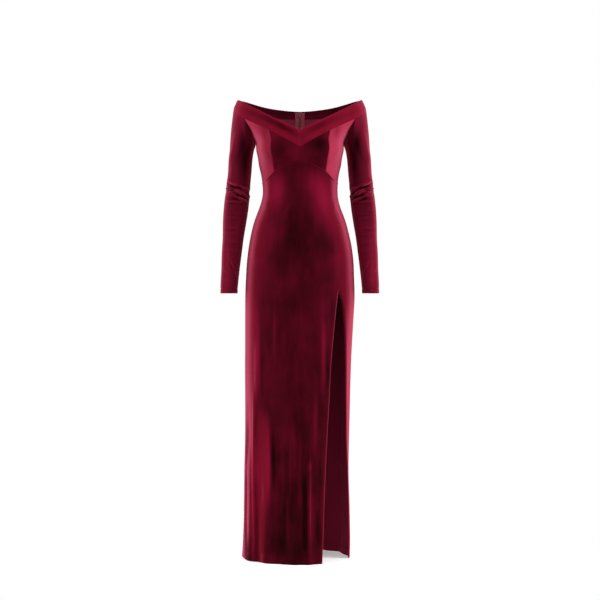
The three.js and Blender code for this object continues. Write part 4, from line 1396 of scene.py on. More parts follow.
def new_group(name: str, kind: str, inputs: Sequence[tuple[str, Socket, object]],
              outputs: Sequence[tuple[str, Socket]]) -> tuple[Wiring, bpy.types.Node, bpy.types.Node]:
    """Starts a node group with named sockets.

    Args:
        name: Its name.
        kind: ShaderNodeTree or GeometryNodeTree.
        inputs: Name, kind and starting value of each input.
        outputs: Name and kind of each output.

    Returns:
        The wiring, the group's input node and its output node.
    """
    tree = bpy.data.node_groups.new(name, kind)
    for label, socket, value in inputs:
        made = tree.interface.new_socket(label, in_out="INPUT", socket_type=socket.value)
        if value is not None:
            made.default_value = value
    for label, socket in outputs:
        tree.interface.new_socket(label, in_out="OUTPUT", socket_type=socket.value)
    wiring = Wiring(tree)
    return wiring, wiring.add("NodeGroupInput"), wiring.add("NodeGroupOutput")


# Shares of the strokes and of the fine grain in the pile's relief.
PILE_SWELL = 0.7
PILE_FUZZ = 0.12
# A stroke on the front fades over this depth, in metres, on each side of the centre plane.
FRONT_HALF = 0.02


def pile_group() -> bpy.types.NodeTree:
    """Shader group for a pile that was stroked this way and that, with its fine grain.

    Returns:
        The group's tree.
    """
    wiring, given, made = new_group(
        "stroked_pile", "ShaderNodeTree",
        [("Cloud Scale", Socket.FLOAT, 13.0), ("Streak Scale", Socket.FLOAT, 60.0),
         ("Grain Scale", Socket.FLOAT, 1400.0), ("Streak Share", Socket.FLOAT, 0.35),
         ("Level", Socket.FLOAT, 0.5), ("Mottle", Socket.FLOAT, 1.0)],
        [("Shade", Socket.FLOAT), ("Height", Socket.FLOAT)])
    place = wiring.add("ShaderNodeTexCoord").outputs["Object"]

    def noise(scale: str, stretch: float, detail: float) -> bpy.types.NodeSocket:
        """Noise round zero, drawn out along the grain.

        Args:
            scale: The group's input that sets its scale.
            stretch: Its scale along the grain, as a share of that across.
            detail: How fine it gets.

        Returns:
            The noise.
        """
        mapping = wiring.add("ShaderNodeMapping")
        mapping.inputs["Scale"].default_value = (1.0, 1.0, stretch)
        wiring.join(place, mapping.inputs["Vector"])
        node = wiring.add("ShaderNodeTexNoise")
        wiring.join(mapping.outputs["Vector"], node.inputs["Vector"])
        wiring.join(given.outputs[scale], node.inputs["Scale"])
        node.inputs["Detail"].default_value = detail
        return wiring.maths("SUBTRACT", node.outputs["Fac"], 0.5)

    cloud = noise("Cloud Scale", 0.6, 3.0)
    streak = noise("Streak Scale", 0.22, 2.0)
    grain = noise("Grain Scale", 0.7, 1.0)
    streaks = wiring.maths("MULTIPLY", streak, given.outputs["Streak Share"])
    stroked = wiring.maths("ADD", cloud, streaks)
    mottled = wiring.maths("MULTIPLY", stroked, given.outputs["Mottle"])
    wiring.join(wiring.maths("ADD", mottled, given.outputs["Level"]), made.inputs["Shade"])
    swell = wiring.maths("MULTIPLY", stroked, PILE_SWELL)
    fuzz = wiring.maths("MULTIPLY", grain, PILE_FUZZ)
    wiring.join(wiring.maths("ADD", swell, fuzz), made.inputs["Height"])
    return wiring.tree


def stroke_group() -> bpy.types.NodeTree:
    """Shader group that paints lighter or darker shade into one oval patch of the front or back: painted
    light and shade, with the nap's own tone.

    Returns:
        The group's tree.
    """
    wiring, given, made = new_group(
        "pile_stroke", "ShaderNodeTree",
        [("Shade", Socket.FLOAT, 0.0), ("Middle", Socket.VECTOR, None), ("Turn", Socket.VECTOR, None),
         ("Size", Socket.VECTOR, None), ("Lift", Socket.FLOAT, 0.0),
         ("Facing Side", Socket.FLOAT, 1.0), ("Crispness", Socket.FLOAT, 1.0)],
        [("Shade", Socket.FLOAT)])
    place = wiring.add("ShaderNodeTexCoord").outputs["Object"]
    oval = wiring.add("ShaderNodeMapping", vector_type="TEXTURE")
    wiring.join(place, oval.inputs["Vector"])
    for ours, theirs in (("Middle", "Location"), ("Turn", "Rotation"), ("Size", "Scale")):
        wiring.join(given.outputs[ours], oval.inputs[theirs])
    flat = wiring.add("ShaderNodeVectorMath", operation="MULTIPLY")
    wiring.join(oval.outputs["Vector"], flat.inputs[0])
    flat.inputs[1].default_value = (1.0, 0.0, 1.0)
    square = wiring.add("ShaderNodeVectorMath", operation="DOT_PRODUCT")
    wiring.join(flat.outputs["Vector"], square.inputs[0])
    wiring.join(flat.outputs["Vector"], square.inputs[1])
    reach = wiring.maths("POWER", square.outputs["Value"], given.outputs["Crispness"])
    patch = wiring.maths("EXPONENT", wiring.maths("MULTIPLY", reach, -1.0))
    split = wiring.add("ShaderNodeSeparateXYZ")
    wiring.join(place, split.inputs[0])
    depth = wiring.maths("MULTIPLY", split.outputs["Y"], given.outputs["Facing Side"])
    near = wiring.add("ShaderNodeMapRange", interpolation_type="SMOOTHSTEP")
    wiring.join(depth, near.inputs["Value"])
    near.inputs["From Min"].default_value = FRONT_HALF
    near.inputs["From Max"].default_value = -FRONT_HALF
    lift = wiring.maths("MULTIPLY", wiring.maths("MULTIPLY", patch, near.outputs["Result"]),
                        given.outputs["Lift"])
    wiring.join(wiring.maths("ADD", given.outputs["Shade"], lift), made.inputs["Shade"])
    return wiring.tree


@dataclass(frozen=True)
class Stroke:
    """An oval patch, lighter or darker: partly the nap lying another way, partly painted light and shade.

    Attributes:
        x: Its middle, from the centre plane, in millimetres.
        z: Its middle's height.
        width: Half its width.
        length: Half its length.
        lift: How much lighter it looks, below zero for darker.
        lean: How far its top leans to the left, in degrees.
        front: 1 on the front, -1 on the back.
        crisp: How crisply it ends.
    """

    x: float
    z: float
    width: float
    length: float
    lift: float
    lean: float = 0.0
    front: int = 1
    crisp: float = 1.0

    def over(self, wiring: Wiring, group: bpy.types.NodeTree,
             shade: bpy.types.NodeSocket) -> bpy.types.NodeSocket:
        """Lays the patch of painted light and shade over a shade.

        Args:
            wiring: The material's tree.
            group: The patch's shader group.
            shade: The shade below it.

        Returns:
            The shade with the patch.
        """
        node = wiring.add("ShaderNodeGroup", node_tree=group)
        wiring.join(shade, node.inputs["Shade"])
        node.inputs["Middle"].default_value = (self.x * MM, 0.0, self.z * MM)
        node.inputs["Turn"].default_value = (0.0, math.radians(self.lean), 0.0)
        node.inputs["Size"].default_value = (self.width * MM, 1.0, self.length * MM)
        node.inputs["Lift"].default_value = self.lift
        node.inputs["Facing Side"].default_value = self.front
        node.inputs["Crispness"].default_value = self.crisp
        return node.outputs["Shade"]


# Painted light and shade on the skirt, with the nap's own tone: lighter sides, a darker middle, a thin
# painted highlight down a fold, and painted shade that holds back the painted sheen at the lower left
# edge.
SKIRT_NAP_AND_SHADE = tuple(Stroke(*row) for row in (
    (-74, -146, 30, 50, 0.55), (46, -128, 30, 44, 0.45), (76, -176, 28, 56, 0.62),
    (98, -232, 24, 50, 0.30), (-104, -270, 30, 100, 0.34), (-14, -235, 32, 78, -0.13),
    (-20, -340, 60, 70, -0.05), (64, -320, 44, 60, -0.07), (118, -360, 20, 90, 0.28),
    (-144, -620, 24, 150, 0.46, 0, 1, 3), (-113, -965, 23, 150, 0.42, 0, 1, 3),
    (-104, -980, 15, 130, 0.20), (-140, -1000, 5, 250, 0.50), (-163, -1110, 14, 220, -0.40),
    (-158, -1240, 10, 60, -0.20), (-157, -920, 7, 150, -0.20), (-113, -1225, 12, 56, -0.20),
    (-124, -714, 9, 90, 0.15), (-22, -1140, 56, 150, -0.22), (-46, -1075, 15, 90, -0.12),
    (32, -1090, 2.4, 125, 0.60), (31, -970, 5, 12, 0.30), (22, -1080, 7, 120, -0.08),
    (54, -1040, 12, 170, -0.20), (-28, -960, 3, 60, 0.20), (-76, -565, 3, 80, 0.15),
    (48, -860, 6, 110, 0.20),
    (70, -590, 6, 110, 0.24), (-40, -880, 26, 40, 0.08), (56, -1190, 9, 70, -0.08),
    (-60, -300, 50, 110, 0.5, 12, -1), (70, -520, 44, 190, 0.4, -8, -1),
    (-90, -860, 30, 220, 0.45, 5, -1), (60, -1020, 26, 180, -0.16, 0, -1),
    (20, -180, 60, 50, 0.25, 0, -1), (110, -900, 22, 240, 0.4, 4, -1),
))
# Painted light and shade on the centre cups.
CENTRE_CUP_NAP_AND_SHADE = tuple(Stroke(*row) for row in (
    (-60, -34, 24, 28, -0.20), (58, -12, 24, 28, -0.24), (-6, -30, 24, 36, 0.16),
    (-74, 18, 16, 16, 0.18), (30, 0, 14, 22, -0.08), (78, 16, 10, 14, 0.12),
))
# Painted shade and light on the side cups, darker at their tops.
SIDE_CUP_NAP_AND_SHADE = tuple(Stroke(*row) for row in (
    (-106, 22, 34, 60, -0.46), (-92, -66, 22, 50, -0.42), (112, 32, 14, 38, -0.44),
    (96, -58, 20, 42, 0.26), (-118, -20, 8, 60, 0.16), (-60, 20, 50, 60, -0.2, 0, -1),
    (60, 40, 50, 50, 0.1, 0, -1),
))
# Painted light and shade on the band, and two thin painted highlights along its folded top edge.
BAND_NAP_AND_SHADE = tuple(Stroke(*row) for row in (
    (-92, 62, 10, 70, -0.40, -62), (-42, 34, 8, 36, -0.26, -62), (-140, 76, 22, 40, -0.05, -66),
    (60, 44, 9, 46, -0.28, 62), (110, 66, 14, 60, -0.12, 64), (-30, 4, 12, 44, 0.16, -56),
    (34, 6, 12, 44, 0.22, 56), (0, 12, 5, 26, 0.20), (-196, 96, 20, 26, 0.16), (196, 96, 20, 26, 0.16),
    (-62, 58.5, 1.6, 62, 0.60, -63.5), (62, 58.5, 1.6, 62, 0.60, 63.5),
))
# Painted light and shade on the sleeves: darker on the inner upper arm and at the elbow, lighter on the
# outer side and along the forearm.
SLEEVE_NAP_AND_SHADE = tuple(Stroke(side * x, *row) for side in (-1, 1) for x, *row in (
    (164, -16, 20, 74, -0.25), (160, -84, 20, 46, -0.22), (190, 66, 26, 26, 0.32), (196, -60, 9, 90, 0.08),
    (216, -20, 10, 80, 0.30), (206, -330, 8, 110, 0.04), (184, -330, 14, 120, 0.30),
    (222, -330, 12, 130, 0.34), (200, -195, 26, 40, -0.08), (212, -420, 24, 50, 0.14),
))


# Height of a rib, by which two ribs on top of each other swing from -0.5 to 0.5.
RIB_SWELL = 0.25
MIDDLE_SHADE = 0.5


def knit_group() -> bpy.types.NodeTree:
    """Shader group for fine crossing ribs that follow the cloth's own map.

    Returns:
        The group's tree.
    """
    wiring, given, made = new_group(
        "fine_ribs", "ShaderNodeTree",
        [("Ribs Across", Socket.FLOAT, 900.0), ("Ribs Along", Socket.FLOAT, 700.0)],
        [("Shade", Socket.FLOAT), ("Height", Socket.FLOAT)])
    split = wiring.add("ShaderNodeSeparateXYZ")
    wiring.join(wiring.add("ShaderNodeUVMap", uv_map="cloth").outputs["UV"], split.inputs[0])
    waves = []
    for axis, name in (("X", "Ribs Across"), ("Y", "Ribs Along")):
        turns = wiring.maths("MULTIPLY", split.outputs[axis], given.outputs[name])
        waves.append(wiring.maths("SINE", wiring.maths("MULTIPLY", turns, 2 * math.pi)))
    height = wiring.maths("MULTIPLY", wiring.maths("ADD", *waves), RIB_SWELL)
    wiring.join(height, made.inputs["Height"])
    wiring.join(wiring.maths("ADD", height, MIDDLE_SHADE), made.inputs["Shade"])
    return wiring.tree


# A Mix node's sockets for numbers, vectors and colours share names, so colours go by place.
MIX_FIRST = 6
MIX_SECOND = 7
MIX_RESULT = 2


@dataclass(frozen=True)
class Finish:
    """A finish of cloth or metal, with its own values for a shared effect.

    Attributes:
        name: The material's name.
        dark: Base colour in the hollows of the effect.
        light: Base colour on its heights.
        roughness: Roughness of the surface.
        sheen: Weight of the sheen.
        sheen_roughness: Roughness of the sheen.
        sheen_tint: Colour of the sheen.
        metallic: 1 for metal.
        bump: Strength of the relief.
        relief: Depth of the relief in metres.
        values: The effect's inputs.
        strokes: Patches, partly the nap lying another way, partly painted light and shade.
        specular: Level of the plain gloss.
        coat: Weight of a clear coat.
        rim: Colours painted into the base colour where the pile turns from the view, a painted sheen:
            turn, colour and share of each stop.
        crest: How much painted highlight goes on the crest of a crease, and painted shade in its hollow.
        unlit: Shade at which the painted sheen is gone.
        lit: Shade from which the painted sheen is full.
    """

    name: str
    dark: tuple[float, float, float]
    light: tuple[float, float, float]
    roughness: float
    sheen: float = 0.0
    sheen_roughness: float = 0.4
    sheen_tint: tuple[float, float, float] = (1.0, 1.0, 1.0)
    metallic: float = 0.0
    bump: float = 0.3
    relief: float = 0.0006
    values: tuple[tuple[str, float], ...] = ()
    strokes: tuple[Stroke, ...] = ()
    specular: float = 0.3
    coat: float = 0.0
    rim: tuple[tuple[float, tuple[float, float, float], float], ...] = ()
    crest: float = 0.0
    unlit: float = -0.22
    lit: float = 0.10

    def pale_rim(self, wiring: Wiring, colour: bpy.types.NodeSocket, shade: bpy.types.NodeSocket,
                 normal: bpy.types.NodeSocket) -> bpy.types.NodeSocket:
        """Paints velvet's sheen into the base colour by the angle of view, a painted sheen.

        Less of it is painted where the pile is dark.

        Args:
            wiring: The material's tree.
            colour: The base colour.
            shade: The shade of the pile.
            normal: The normal of the relief.

        Returns:
            The mixed colour.
        """
        turn = wiring.add("ShaderNodeLayerWeight")
        wiring.join(normal, turn.inputs["Normal"])
        ramp = wiring.add("ShaderNodeValToRGB")
        stops = ramp.color_ramp.elements
        while len(stops) < len(self.rim):
            stops.new(0.5)
        for stop, (place, tone, weight) in zip(stops, self.rim):
            stop.position = place
            stop.color = (*tone, weight)
        wiring.join(turn.outputs["Facing"], ramp.inputs["Fac"])
        mix = wiring.add("ShaderNodeMix", data_type="RGBA")
        lit = wiring.add("ShaderNodeMapRange")
        wiring.join(shade, lit.inputs["Value"])
        lit.inputs["From Min"].default_value = self.unlit
        lit.inputs["From Max"].default_value = self.lit
        share = wiring.maths("MULTIPLY", ramp.outputs["Alpha"], lit.outputs["Result"])
        wiring.join(share, mix.inputs["Factor"])
        wiring.join(colour, mix.inputs[MIX_FIRST])
        wiring.join(ramp.outputs["Color"], mix.inputs[MIX_SECOND])
        return mix.outputs[MIX_RESULT]

    def material(self, effect: bpy.types.NodeTree,
                 patch_tree: bpy.types.NodeTree | None = None) -> bpy.types.Material:
        """Makes the material.

        Args:
            effect: The shader group whose Shade and Height it uses.
            patch_tree: The shader group of a patch of painted light and shade, if it has patches.

        Returns:
            The material.
        """
        made = bpy.data.materials.new(self.name)
        made.use_nodes = True
        wiring = Wiring(made.node_tree)
        shader = made.node_tree.nodes["Principled BSDF"]
        group = wiring.add("ShaderNodeGroup", node_tree=effect)
        for name, value in self.values:
            group.inputs[name].default_value = value
        ramp = wiring.add("ShaderNodeValToRGB")
        ramp.color_ramp.elements[0].position = 0.0
        ramp.color_ramp.elements[0].color = (*self.dark, 1)
        ramp.color_ramp.elements[1].position = 1.0
        ramp.color_ramp.elements[1].color = (*self.light, 1)
        shade = group.outputs["Shade"]
        # Patches of painted light and shade, with the nap's own tone.
        for patch in self.strokes:
            shade = patch.over(wiring, patch_tree, shade)
        # Painted highlight on crease tops and painted shade in their hollows.
        if self.crest:
            crest = wiring.add("ShaderNodeAttribute", attribute_name=CREASE_SHADE_ATTRIBUTE).outputs["Fac"]
            shade = wiring.maths("ADD", shade, wiring.maths("MULTIPLY", crest, self.crest))
        wiring.join(shade, ramp.inputs["Fac"])
        bump = wiring.add("ShaderNodeBump")
        bump.inputs["Strength"].default_value = self.bump
        bump.inputs["Distance"].default_value = self.relief
        wiring.join(group.outputs["Height"], bump.inputs["Height"])
        wiring.join(bump.outputs["Normal"], shader.inputs["Normal"])
        colour = ramp.outputs["Color"]
        # Painted sheen: paler colours mixed into the base colour by the angle of view.
        if self.rim:
            colour = self.pale_rim(wiring, colour, shade, bump.outputs["Normal"])
        wiring.join(colour, shader.inputs["Base Color"])
        plain = {
            "Roughness": self.roughness, "Metallic": self.metallic, "Coat Weight": self.coat,
            "Specular IOR Level": self.specular, "Sheen Weight": self.sheen,
            "Sheen Roughness": self.sheen_roughness, "Sheen Tint": (*self.sheen_tint, 1)}
        for name, value in plain.items():
            shader.inputs[name].default_value = value
        return made


# The velvets carry a painted sheen at their edges, painted highlight and shade on creases, and patches of
# painted light and shade.
VELVET = Finish(
    "wine_velvet", dark=(0.008, 0.0001, 0.0004), light=(0.172, 0.0030, 0.0200), roughness=0.8,
    sheen=0.45, sheen_roughness=0.32, sheen_tint=(1.0, 0.03, 0.11), bump=0.5, relief=0.0016,
    values=(("Level", 0.22), ("Mottle", 0.56)), strokes=SKIRT_NAP_AND_SHADE, specular=0.02, crest=0.30,
    rim=((0.13, (0.055, 0.0003, 0.003), 0.0), (0.34, (0.105, 0.0025, 0.010), 0.75),
         (0.56, (0.25, 0.027, 0.054), 1.0), (0.90, (0.30, 0.046, 0.080), 1.0)))
# The skirt's side panels: a slightly lighter copy whose painted sheen starts sooner, painted light.
SIDE_PANELS_LIT = replace(
    VELVET, name="wine_velvet_side_panel", values=(("Level", 0.27), ("Mottle", 0.56)),
    rim=((0.13, (0.055, 0.0003, 0.003), 0.0), (0.30, (0.115, 0.0035, 0.013), 0.75),
         (0.48, (0.27, 0.029, 0.060), 1.0), (0.90, (0.31, 0.048, 0.084), 1.0)))
# The centre cups, with their own tone and patches of painted light and shade.
CENTRE_CUPS = replace(
    VELVET, name="wine_velvet_pile_down", sheen=0.3, values=(("Level", 0.32), ("Mottle", 0.5)),
    strokes=CENTRE_CUP_NAP_AND_SHADE)
BAND_PILE = replace(
    VELVET, name="wine_velvet_band", dark=(0.040, 0.0004, 0.0034), light=(0.185, 0.0036, 0.0190),
    values=(("Level", 0.55), ("Mottle", 0.6)), strokes=BAND_NAP_AND_SHADE,
    rim=((0.20, (0.13, 0.003, 0.012), 0.0), (0.40, (0.16, 0.009, 0.024), 0.7),
         (0.62, (0.20, 0.018, 0.038), 1.0), (0.90, (0.25, 0.034, 0.060), 1.0)))
SLEEVE_PILE = replace(
    VELVET, name="wine_velvet_sleeve", dark=(0.010, 0.0003, 0.0012), light=(0.150, 0.0044, 0.0190),
    values=(("Level", 0.42), ("Mottle", 0.5)), strokes=SLEEVE_NAP_AND_SHADE, crest=0.44,
    rim=((0.14, (0.06, 0.001, 0.006), 0.0), (0.34, (0.110, 0.004, 0.015), 0.7),
         (0.60, (0.17, 0.018, 0.038), 1.0), (0.90, (0.23, 0.038, 0.064), 1.0)))
# The side cups: a much lighter copy of the velvet with a pinker sheen, painted light.
SIDE_CUPS_LIT = replace(
    VELVET, name="wine_velvet_pile_up", dark=(0.15, 0.0065, 0.020), light=(0.40, 0.032, 0.072),
    sheen=0.5, sheen_tint=(1.0, 0.17, 0.26), values=(("Level", 0.50), ("Mottle", 0.5)),
    strokes=SIDE_CUP_NAP_AND_SHADE,
    rim=((0.26, (0.26, 0.02, 0.05), 0.0), (0.60, (0.28, 0.036, 0.070), 0.9)))
CLOTH_BACK = Finish(
    "velvet_back", dark=(0.13, 0.006, 0.020), light=(0.22, 0.016, 0.042), roughness=0.9,
    sheen=0.3, sheen_roughness=0.6, sheen_tint=(0.8, 0.3, 0.36), bump=0.25, relief=0.0003, specular=0.1)
# The inside of the skirt: a darker copy of the cloth's back, painted shade.
SKIRT_BACK = replace(
    CLOTH_BACK, name="velvet_back_in_shade", dark=(0.100, 0.0016, 0.0120),
    light=(0.190, 0.0060, 0.0280), sheen=0.15, sheen_tint=(1.0, 0.10, 0.24))
ZIP_TAPE = Finish(
    "woven_zip_tape", dark=(0.190, 0.022, 0.036), light=(0.330, 0.060, 0.084), roughness=0.85,
    sheen=0.2, sheen_roughness=0.5, sheen_tint=(0.9, 0.5, 0.55), bump=0.6, relief=0.0003,
    values=(("Ribs Across", 1100.0), ("Ribs Along", 800.0)), specular=0.15)
ZIP_COIL = Finish(
    "moulded_zip_coil", dark=(0.050, 0.006, 0.011), light=(0.090, 0.014, 0.024), roughness=0.38,
    bump=0.15, relief=0.0002, values=(("Grain Scale", 2600.0),), specular=0.5)
LACQUER = Finish(
    "lacquered_metal", dark=(0.060, 0.006, 0.012), light=(0.105, 0.014, 0.024), roughness=0.3,
    metallic=0.6, bump=0.12, relief=0.0002, values=(("Grain Scale", 1800.0),), specular=0.5, coat=0.6)
THREAD = Finish(
    "sewing_thread", dark=(0.055, 0.003, 0.010), light=(0.110, 0.008, 0.022), roughness=0.6,
    sheen=0.4, sheen_roughness=0.4, sheen_tint=(0.9, 0.45, 0.5), bump=0.3, relief=0.0001,
    values=(("Grain Scale", 2600.0),))


@dataclass
class Wardrobe:
    """The finishes as materials, made once."""

    velvet: bpy.types.Material
    side_panel: bpy.types.Material
    band: bpy.types.Material
    pile_down: bpy.types.Material
    pile_up: bpy.types.Material
    sleeve: bpy.types.Material
    cloth_back: bpy.types.Material
    skirt_back: bpy.types.Material
    tape: bpy.types.Material
    coil: bpy.types.Material
    lacquer: bpy.types.Material
    thread: bpy.types.Material

    @classmethod
    def made(cls) -> "Wardrobe":
        """Makes every material from its finish and shared effect.

        Returns:
            The set of materials.
        """
        pile, ribs, patch_tree = pile_group(), knit_group(), stroke_group()
        return cls(
            velvet=VELVET.material(pile, patch_tree), pile_down=CENTRE_CUPS.material(pile, patch_tree),
            side_panel=SIDE_PANELS_LIT.material(pile, patch_tree), band=BAND_PILE.material(pile, patch_tree),
            pile_up=SIDE_CUPS_LIT.material(pile, patch_tree), sleeve=SLEEVE_PILE.material(pile, patch_tree),
            cloth_back=CLOTH_BACK.material(ribs), skirt_back=SKIRT_BACK.material(ribs),
            tape=ZIP_TAPE.material(ribs), coil=ZIP_COIL.material(pile),
            lacquer=LACQUER.material(pile), thread=THREAD.material(pile))


def beads_tree() -> bpy.types.NodeTree:
    """Geometry tree that sets small rounded beads along lines, for stitches and zip coil.

    Returns:
        The tree.
    """
    wiring, given, made = new_group(
        "beads_along_lines", "GeometryNodeTree",
        [("Lines", Socket.GEOMETRY, None), ("Pitch", Socket.FLOAT, 0.003),
         ("Length", Socket.FLOAT, 0.002), ("Width", Socket.FLOAT, 0.0005),
         ("Height", Socket.FLOAT, 0.0005), ("Finish", Socket.MATERIAL, None)],
        [("Geometry", Socket.GEOMETRY)])
    curve = wiring.add("GeometryNodeMeshToCurve")
    wiring.join(given.outputs["Lines"], curve.inputs["Mesh"])
    points = wiring.add("GeometryNodeCurveToPoints", mode="LENGTH")
    wiring.join(curve.outputs["Curve"], points.inputs["Curve"])
    wiring.join(given.outputs["Pitch"], points.inputs["Length"])
    turn = wiring.add("FunctionNodeAlignRotationToVector", axis="Z")
    wiring.join(points.outputs["Tangent"], turn.inputs["Vector"])
    bead = wiring.add("GeometryNodeMeshUVSphere")
    bead.inputs["Segments"].default_value = 8
    bead.inputs["Rings"].default_value = 5
    bead.inputs["Radius"].default_value = 0.5
    size = wiring.add("ShaderNodeCombineXYZ")
    for place, name in enumerate(("Width", "Height", "Length")):
        wiring.join(given.outputs[name], size.inputs[place])
    placed = wiring.add("GeometryNodeInstanceOnPoints")
    wiring.join(points.outputs["Points"], placed.inputs["Points"])
    wiring.join(bead.outputs["Mesh"], placed.inputs["Instance"])
    wiring.join(turn.outputs["Rotation"], placed.inputs["Rotation"])
    wiring.join(size.outputs[0], placed.inputs["Scale"])
    real = wiring.add("GeometryNodeRealizeInstances")
    wiring.join(placed.outputs["Instances"], real.inputs["Geometry"])
    finish = wiring.add("GeometryNodeSetMaterial")
    wiring.join(real.outputs["Geometry"], finish.inputs["Geometry"])
    wiring.join(given.outputs["Finish"], finish.inputs["Material"])
    wiring.join(finish.outputs["Geometry"], made.inputs["Geometry"])
    return wiring.tree


@dataclass(frozen=True)
class Beads:
    """A run of equal beads along lines.

    Attributes:
        pitch: Distance from bead to bead.
        length: Length of a bead along the line.
        width: Its width.
        height: Its height.
    """

    pitch: float
    length: float
    width: float
    height: float

    def along(self, name: str, lines: Sequence[Array], tree: bpy.types.NodeTree,
              finish: bpy.types.Material) -> bpy.types.Object:
        """Makes the beads as one plain mesh.

        Args:
            name: The piece's name.
            lines: The lines, in millimetres.
            tree: The geometry tree.
            finish: Their material.

        Returns:
            The piece, at the origin.
        """
        points, edges = [], []
        for line in lines:
            start = len(points)
            points += (line * MM).tolist()
            edges += [(start + k, start + k + 1) for k in range(len(line) - 1)]
        mesh = bpy.data.meshes.new(f"{name}_line")
        mesh.from_pydata(points, edges, [])
        obj = bpy.data.objects.new(name, mesh)
        bpy.context.scene.collection.objects.link(obj)
        modifier = obj.modifiers.new("beads", "NODES")
        modifier.node_group = tree
        given = {"Pitch": self.pitch * MM, "Length": self.length * MM, "Width": self.width * MM,
                 "Height": self.height * MM, "Finish": finish}
        for item in tree.interface.items_tree:
            if item.in_out == "INPUT" and item.name in given:
                modifier[item.identifier] = given[item.name]
        bpy.context.view_layer.update()
        shown = obj.evaluated_get(bpy.context.evaluated_depsgraph_get())
        baked = bpy.data.meshes.new_from_object(shown)
        obj.modifiers.remove(modifier)
        obj.data = baked
        bpy.data.meshes.remove(mesh)
        baked.name = name
        baked.polygons.foreach_set("use_smooth", np.ones(len(baked.polygons), bool))
        return obj


HEM_STITCH = Beads(pitch=3.2, length=2.3, width=0.5, height=0.5)
TAPE_STITCH = Beads(pitch=2.6, length=1.9, width=0.42, height=0.42)
COIL_BEAD = Beads(pitch=1.25, length=1.35, width=3.0, height=1.4)
# How far a line of stitches lies off a tape's face, or into a velvet hem's.
STITCH_LIFT = 0.1


def row_line(panel: Panel, hem: float, lift: float) -> Array:
    """The line on a panel's outer face that runs a fixed distance above its hem.

    Args:
        panel: The panel.
        hem: The distance.
        lift: How far the line lies off the face.

    Returns:
        Its points.
    """
    outer, _ = panel.faces_of_cloth()
    _, up, _, _ = panel.distances()
    row = int(np.argmin(np.abs(up.mean(axis=1) - hem)))
    line = outer[row] + panel.normal[row] * lift
    return np.concatenate([line, line[:1]]) if panel.closed else line


@dataclass
class Zip:
    """The concealed zip inside the centre back: two tapes and the closed coil between them.

    Attributes:
        form: The body's face.
        top: Top of the tapes.
        bottom: Their bottom.
        coil_top: Top of the coil.
        coil_end: How far the coil ends above the tapes' bottom.
        width: Width of a tape.
        cloth: Thickness of a tape.
        edge: Distance of a tape's inner edge from the centre plane.
        gap: Clearance behind the cloth.
        bodice_cloth: Thickness of the bodice.
        band_cloth: Thickness of the band.
        band_low: Where the tapes step back behind the band.
        band_high: Where that step ends.
        coil_depth: Thickness of the coil.
        columns: Number of columns across a tape.
        step: Distance between rows.
        stitch_lines: Distances of the two lines of stitches from a tape's inner edge.
        stitch_top: How far below the tapes' top the stitches start.
        stitch_end: How far above the tapes' bottom they end.
    """

    form: BodyForm
    top: float = 108.0
    bottom: float = -300.0
    coil_top: float = 92.4
    coil_end: float = 6.0
    width: float = 14.5
    cloth: float = 0.9
    edge: float = 0.4
    gap: float = 0.35
    bodice_cloth: float = 1.8
    band_cloth: float = 3.0
    band_low: float = 70.0
    band_high: float = 84.0
    coil_depth: float = 1.2
    columns: int = 15
    step: float = 3.0
    stitch_lines: tuple[float, float] = (3.4, 11.5)
    stitch_top: float = 6.0
    stitch_end: float = 4.0

    def depth(self, z: Array) -> Array:
        """Depth of the tapes' faces behind the outer face of the back."""
        step = smooth(self.band_low, self.band_high, z)
        return self.bodice_cloth + (self.band_cloth - self.bodice_cloth) * step + self.gap

    def place(self, distance: Array, z: Array, depth: Array) -> tuple[Array, Array]:
        """Points and normals behind the centre back.

        Args:
            distance: Distances from the centre plane.
            z: Heights.
            depth: Depths behind the outer face.

        Returns:
            The points and the outward normals there.
        """
        angle = 180 - np.degrees(np.arcsin(distance / BODY_RINGS.at(z, "left")))
        normal = self.form.normal(angle, z)
        return self.form.point(angle, z) - normal * depth[..., None], normal

    def tape(self, side: Side) -> Panel:
        """One tape as a grid.

        Args:
            side: Its side.

        Returns:
            The panel.
        """
        across = side.value * np.linspace(self.edge, self.edge + self.width, self.columns)
        rows = np.arange(self.top, self.bottom - 1, -self.step)
        z, distance = np.meshgrid(rows, across, indexing="ij")
        base, normal = self.place(distance, z, self.depth(z))
        return Panel(
            name=f"zip_tape_{side.word}_cloth", node=f"zip_tape_{side.word}", base=base,
            relief=np.zeros_like(z), normal=normal, cloth=self.cloth, held="stretched",
            borders=(FOLD, FOLD, FOLD, FOLD))

    def stitches(self, side: Side) -> list[Array]:
        """Lines of the stitches that hold one tape, on its inner face.

        Args:
            side: The tape's side.

        Returns:
            The lines.
        """
        z = np.arange(self.top - self.stitch_top, self.bottom + self.stitch_end, -self.step)
        depth = self.depth(z) + self.cloth + STITCH_LIFT
        across = [side.value * (self.edge + at) for at in self.stitch_lines]
        return [self.place(0 * z + at, z, depth)[0] for at in across]

    def coil(self) -> Array:
        """Line down the middle of the coil.

        Returns:
            Its points.
        """
        z = np.arange(self.coil_top, self.bottom + self.coil_end, -self.step)
        depth = self.depth(z) + self.cloth + self.gap + self.coil_depth / 2
        return self.place(0 * z, z, depth)[0]


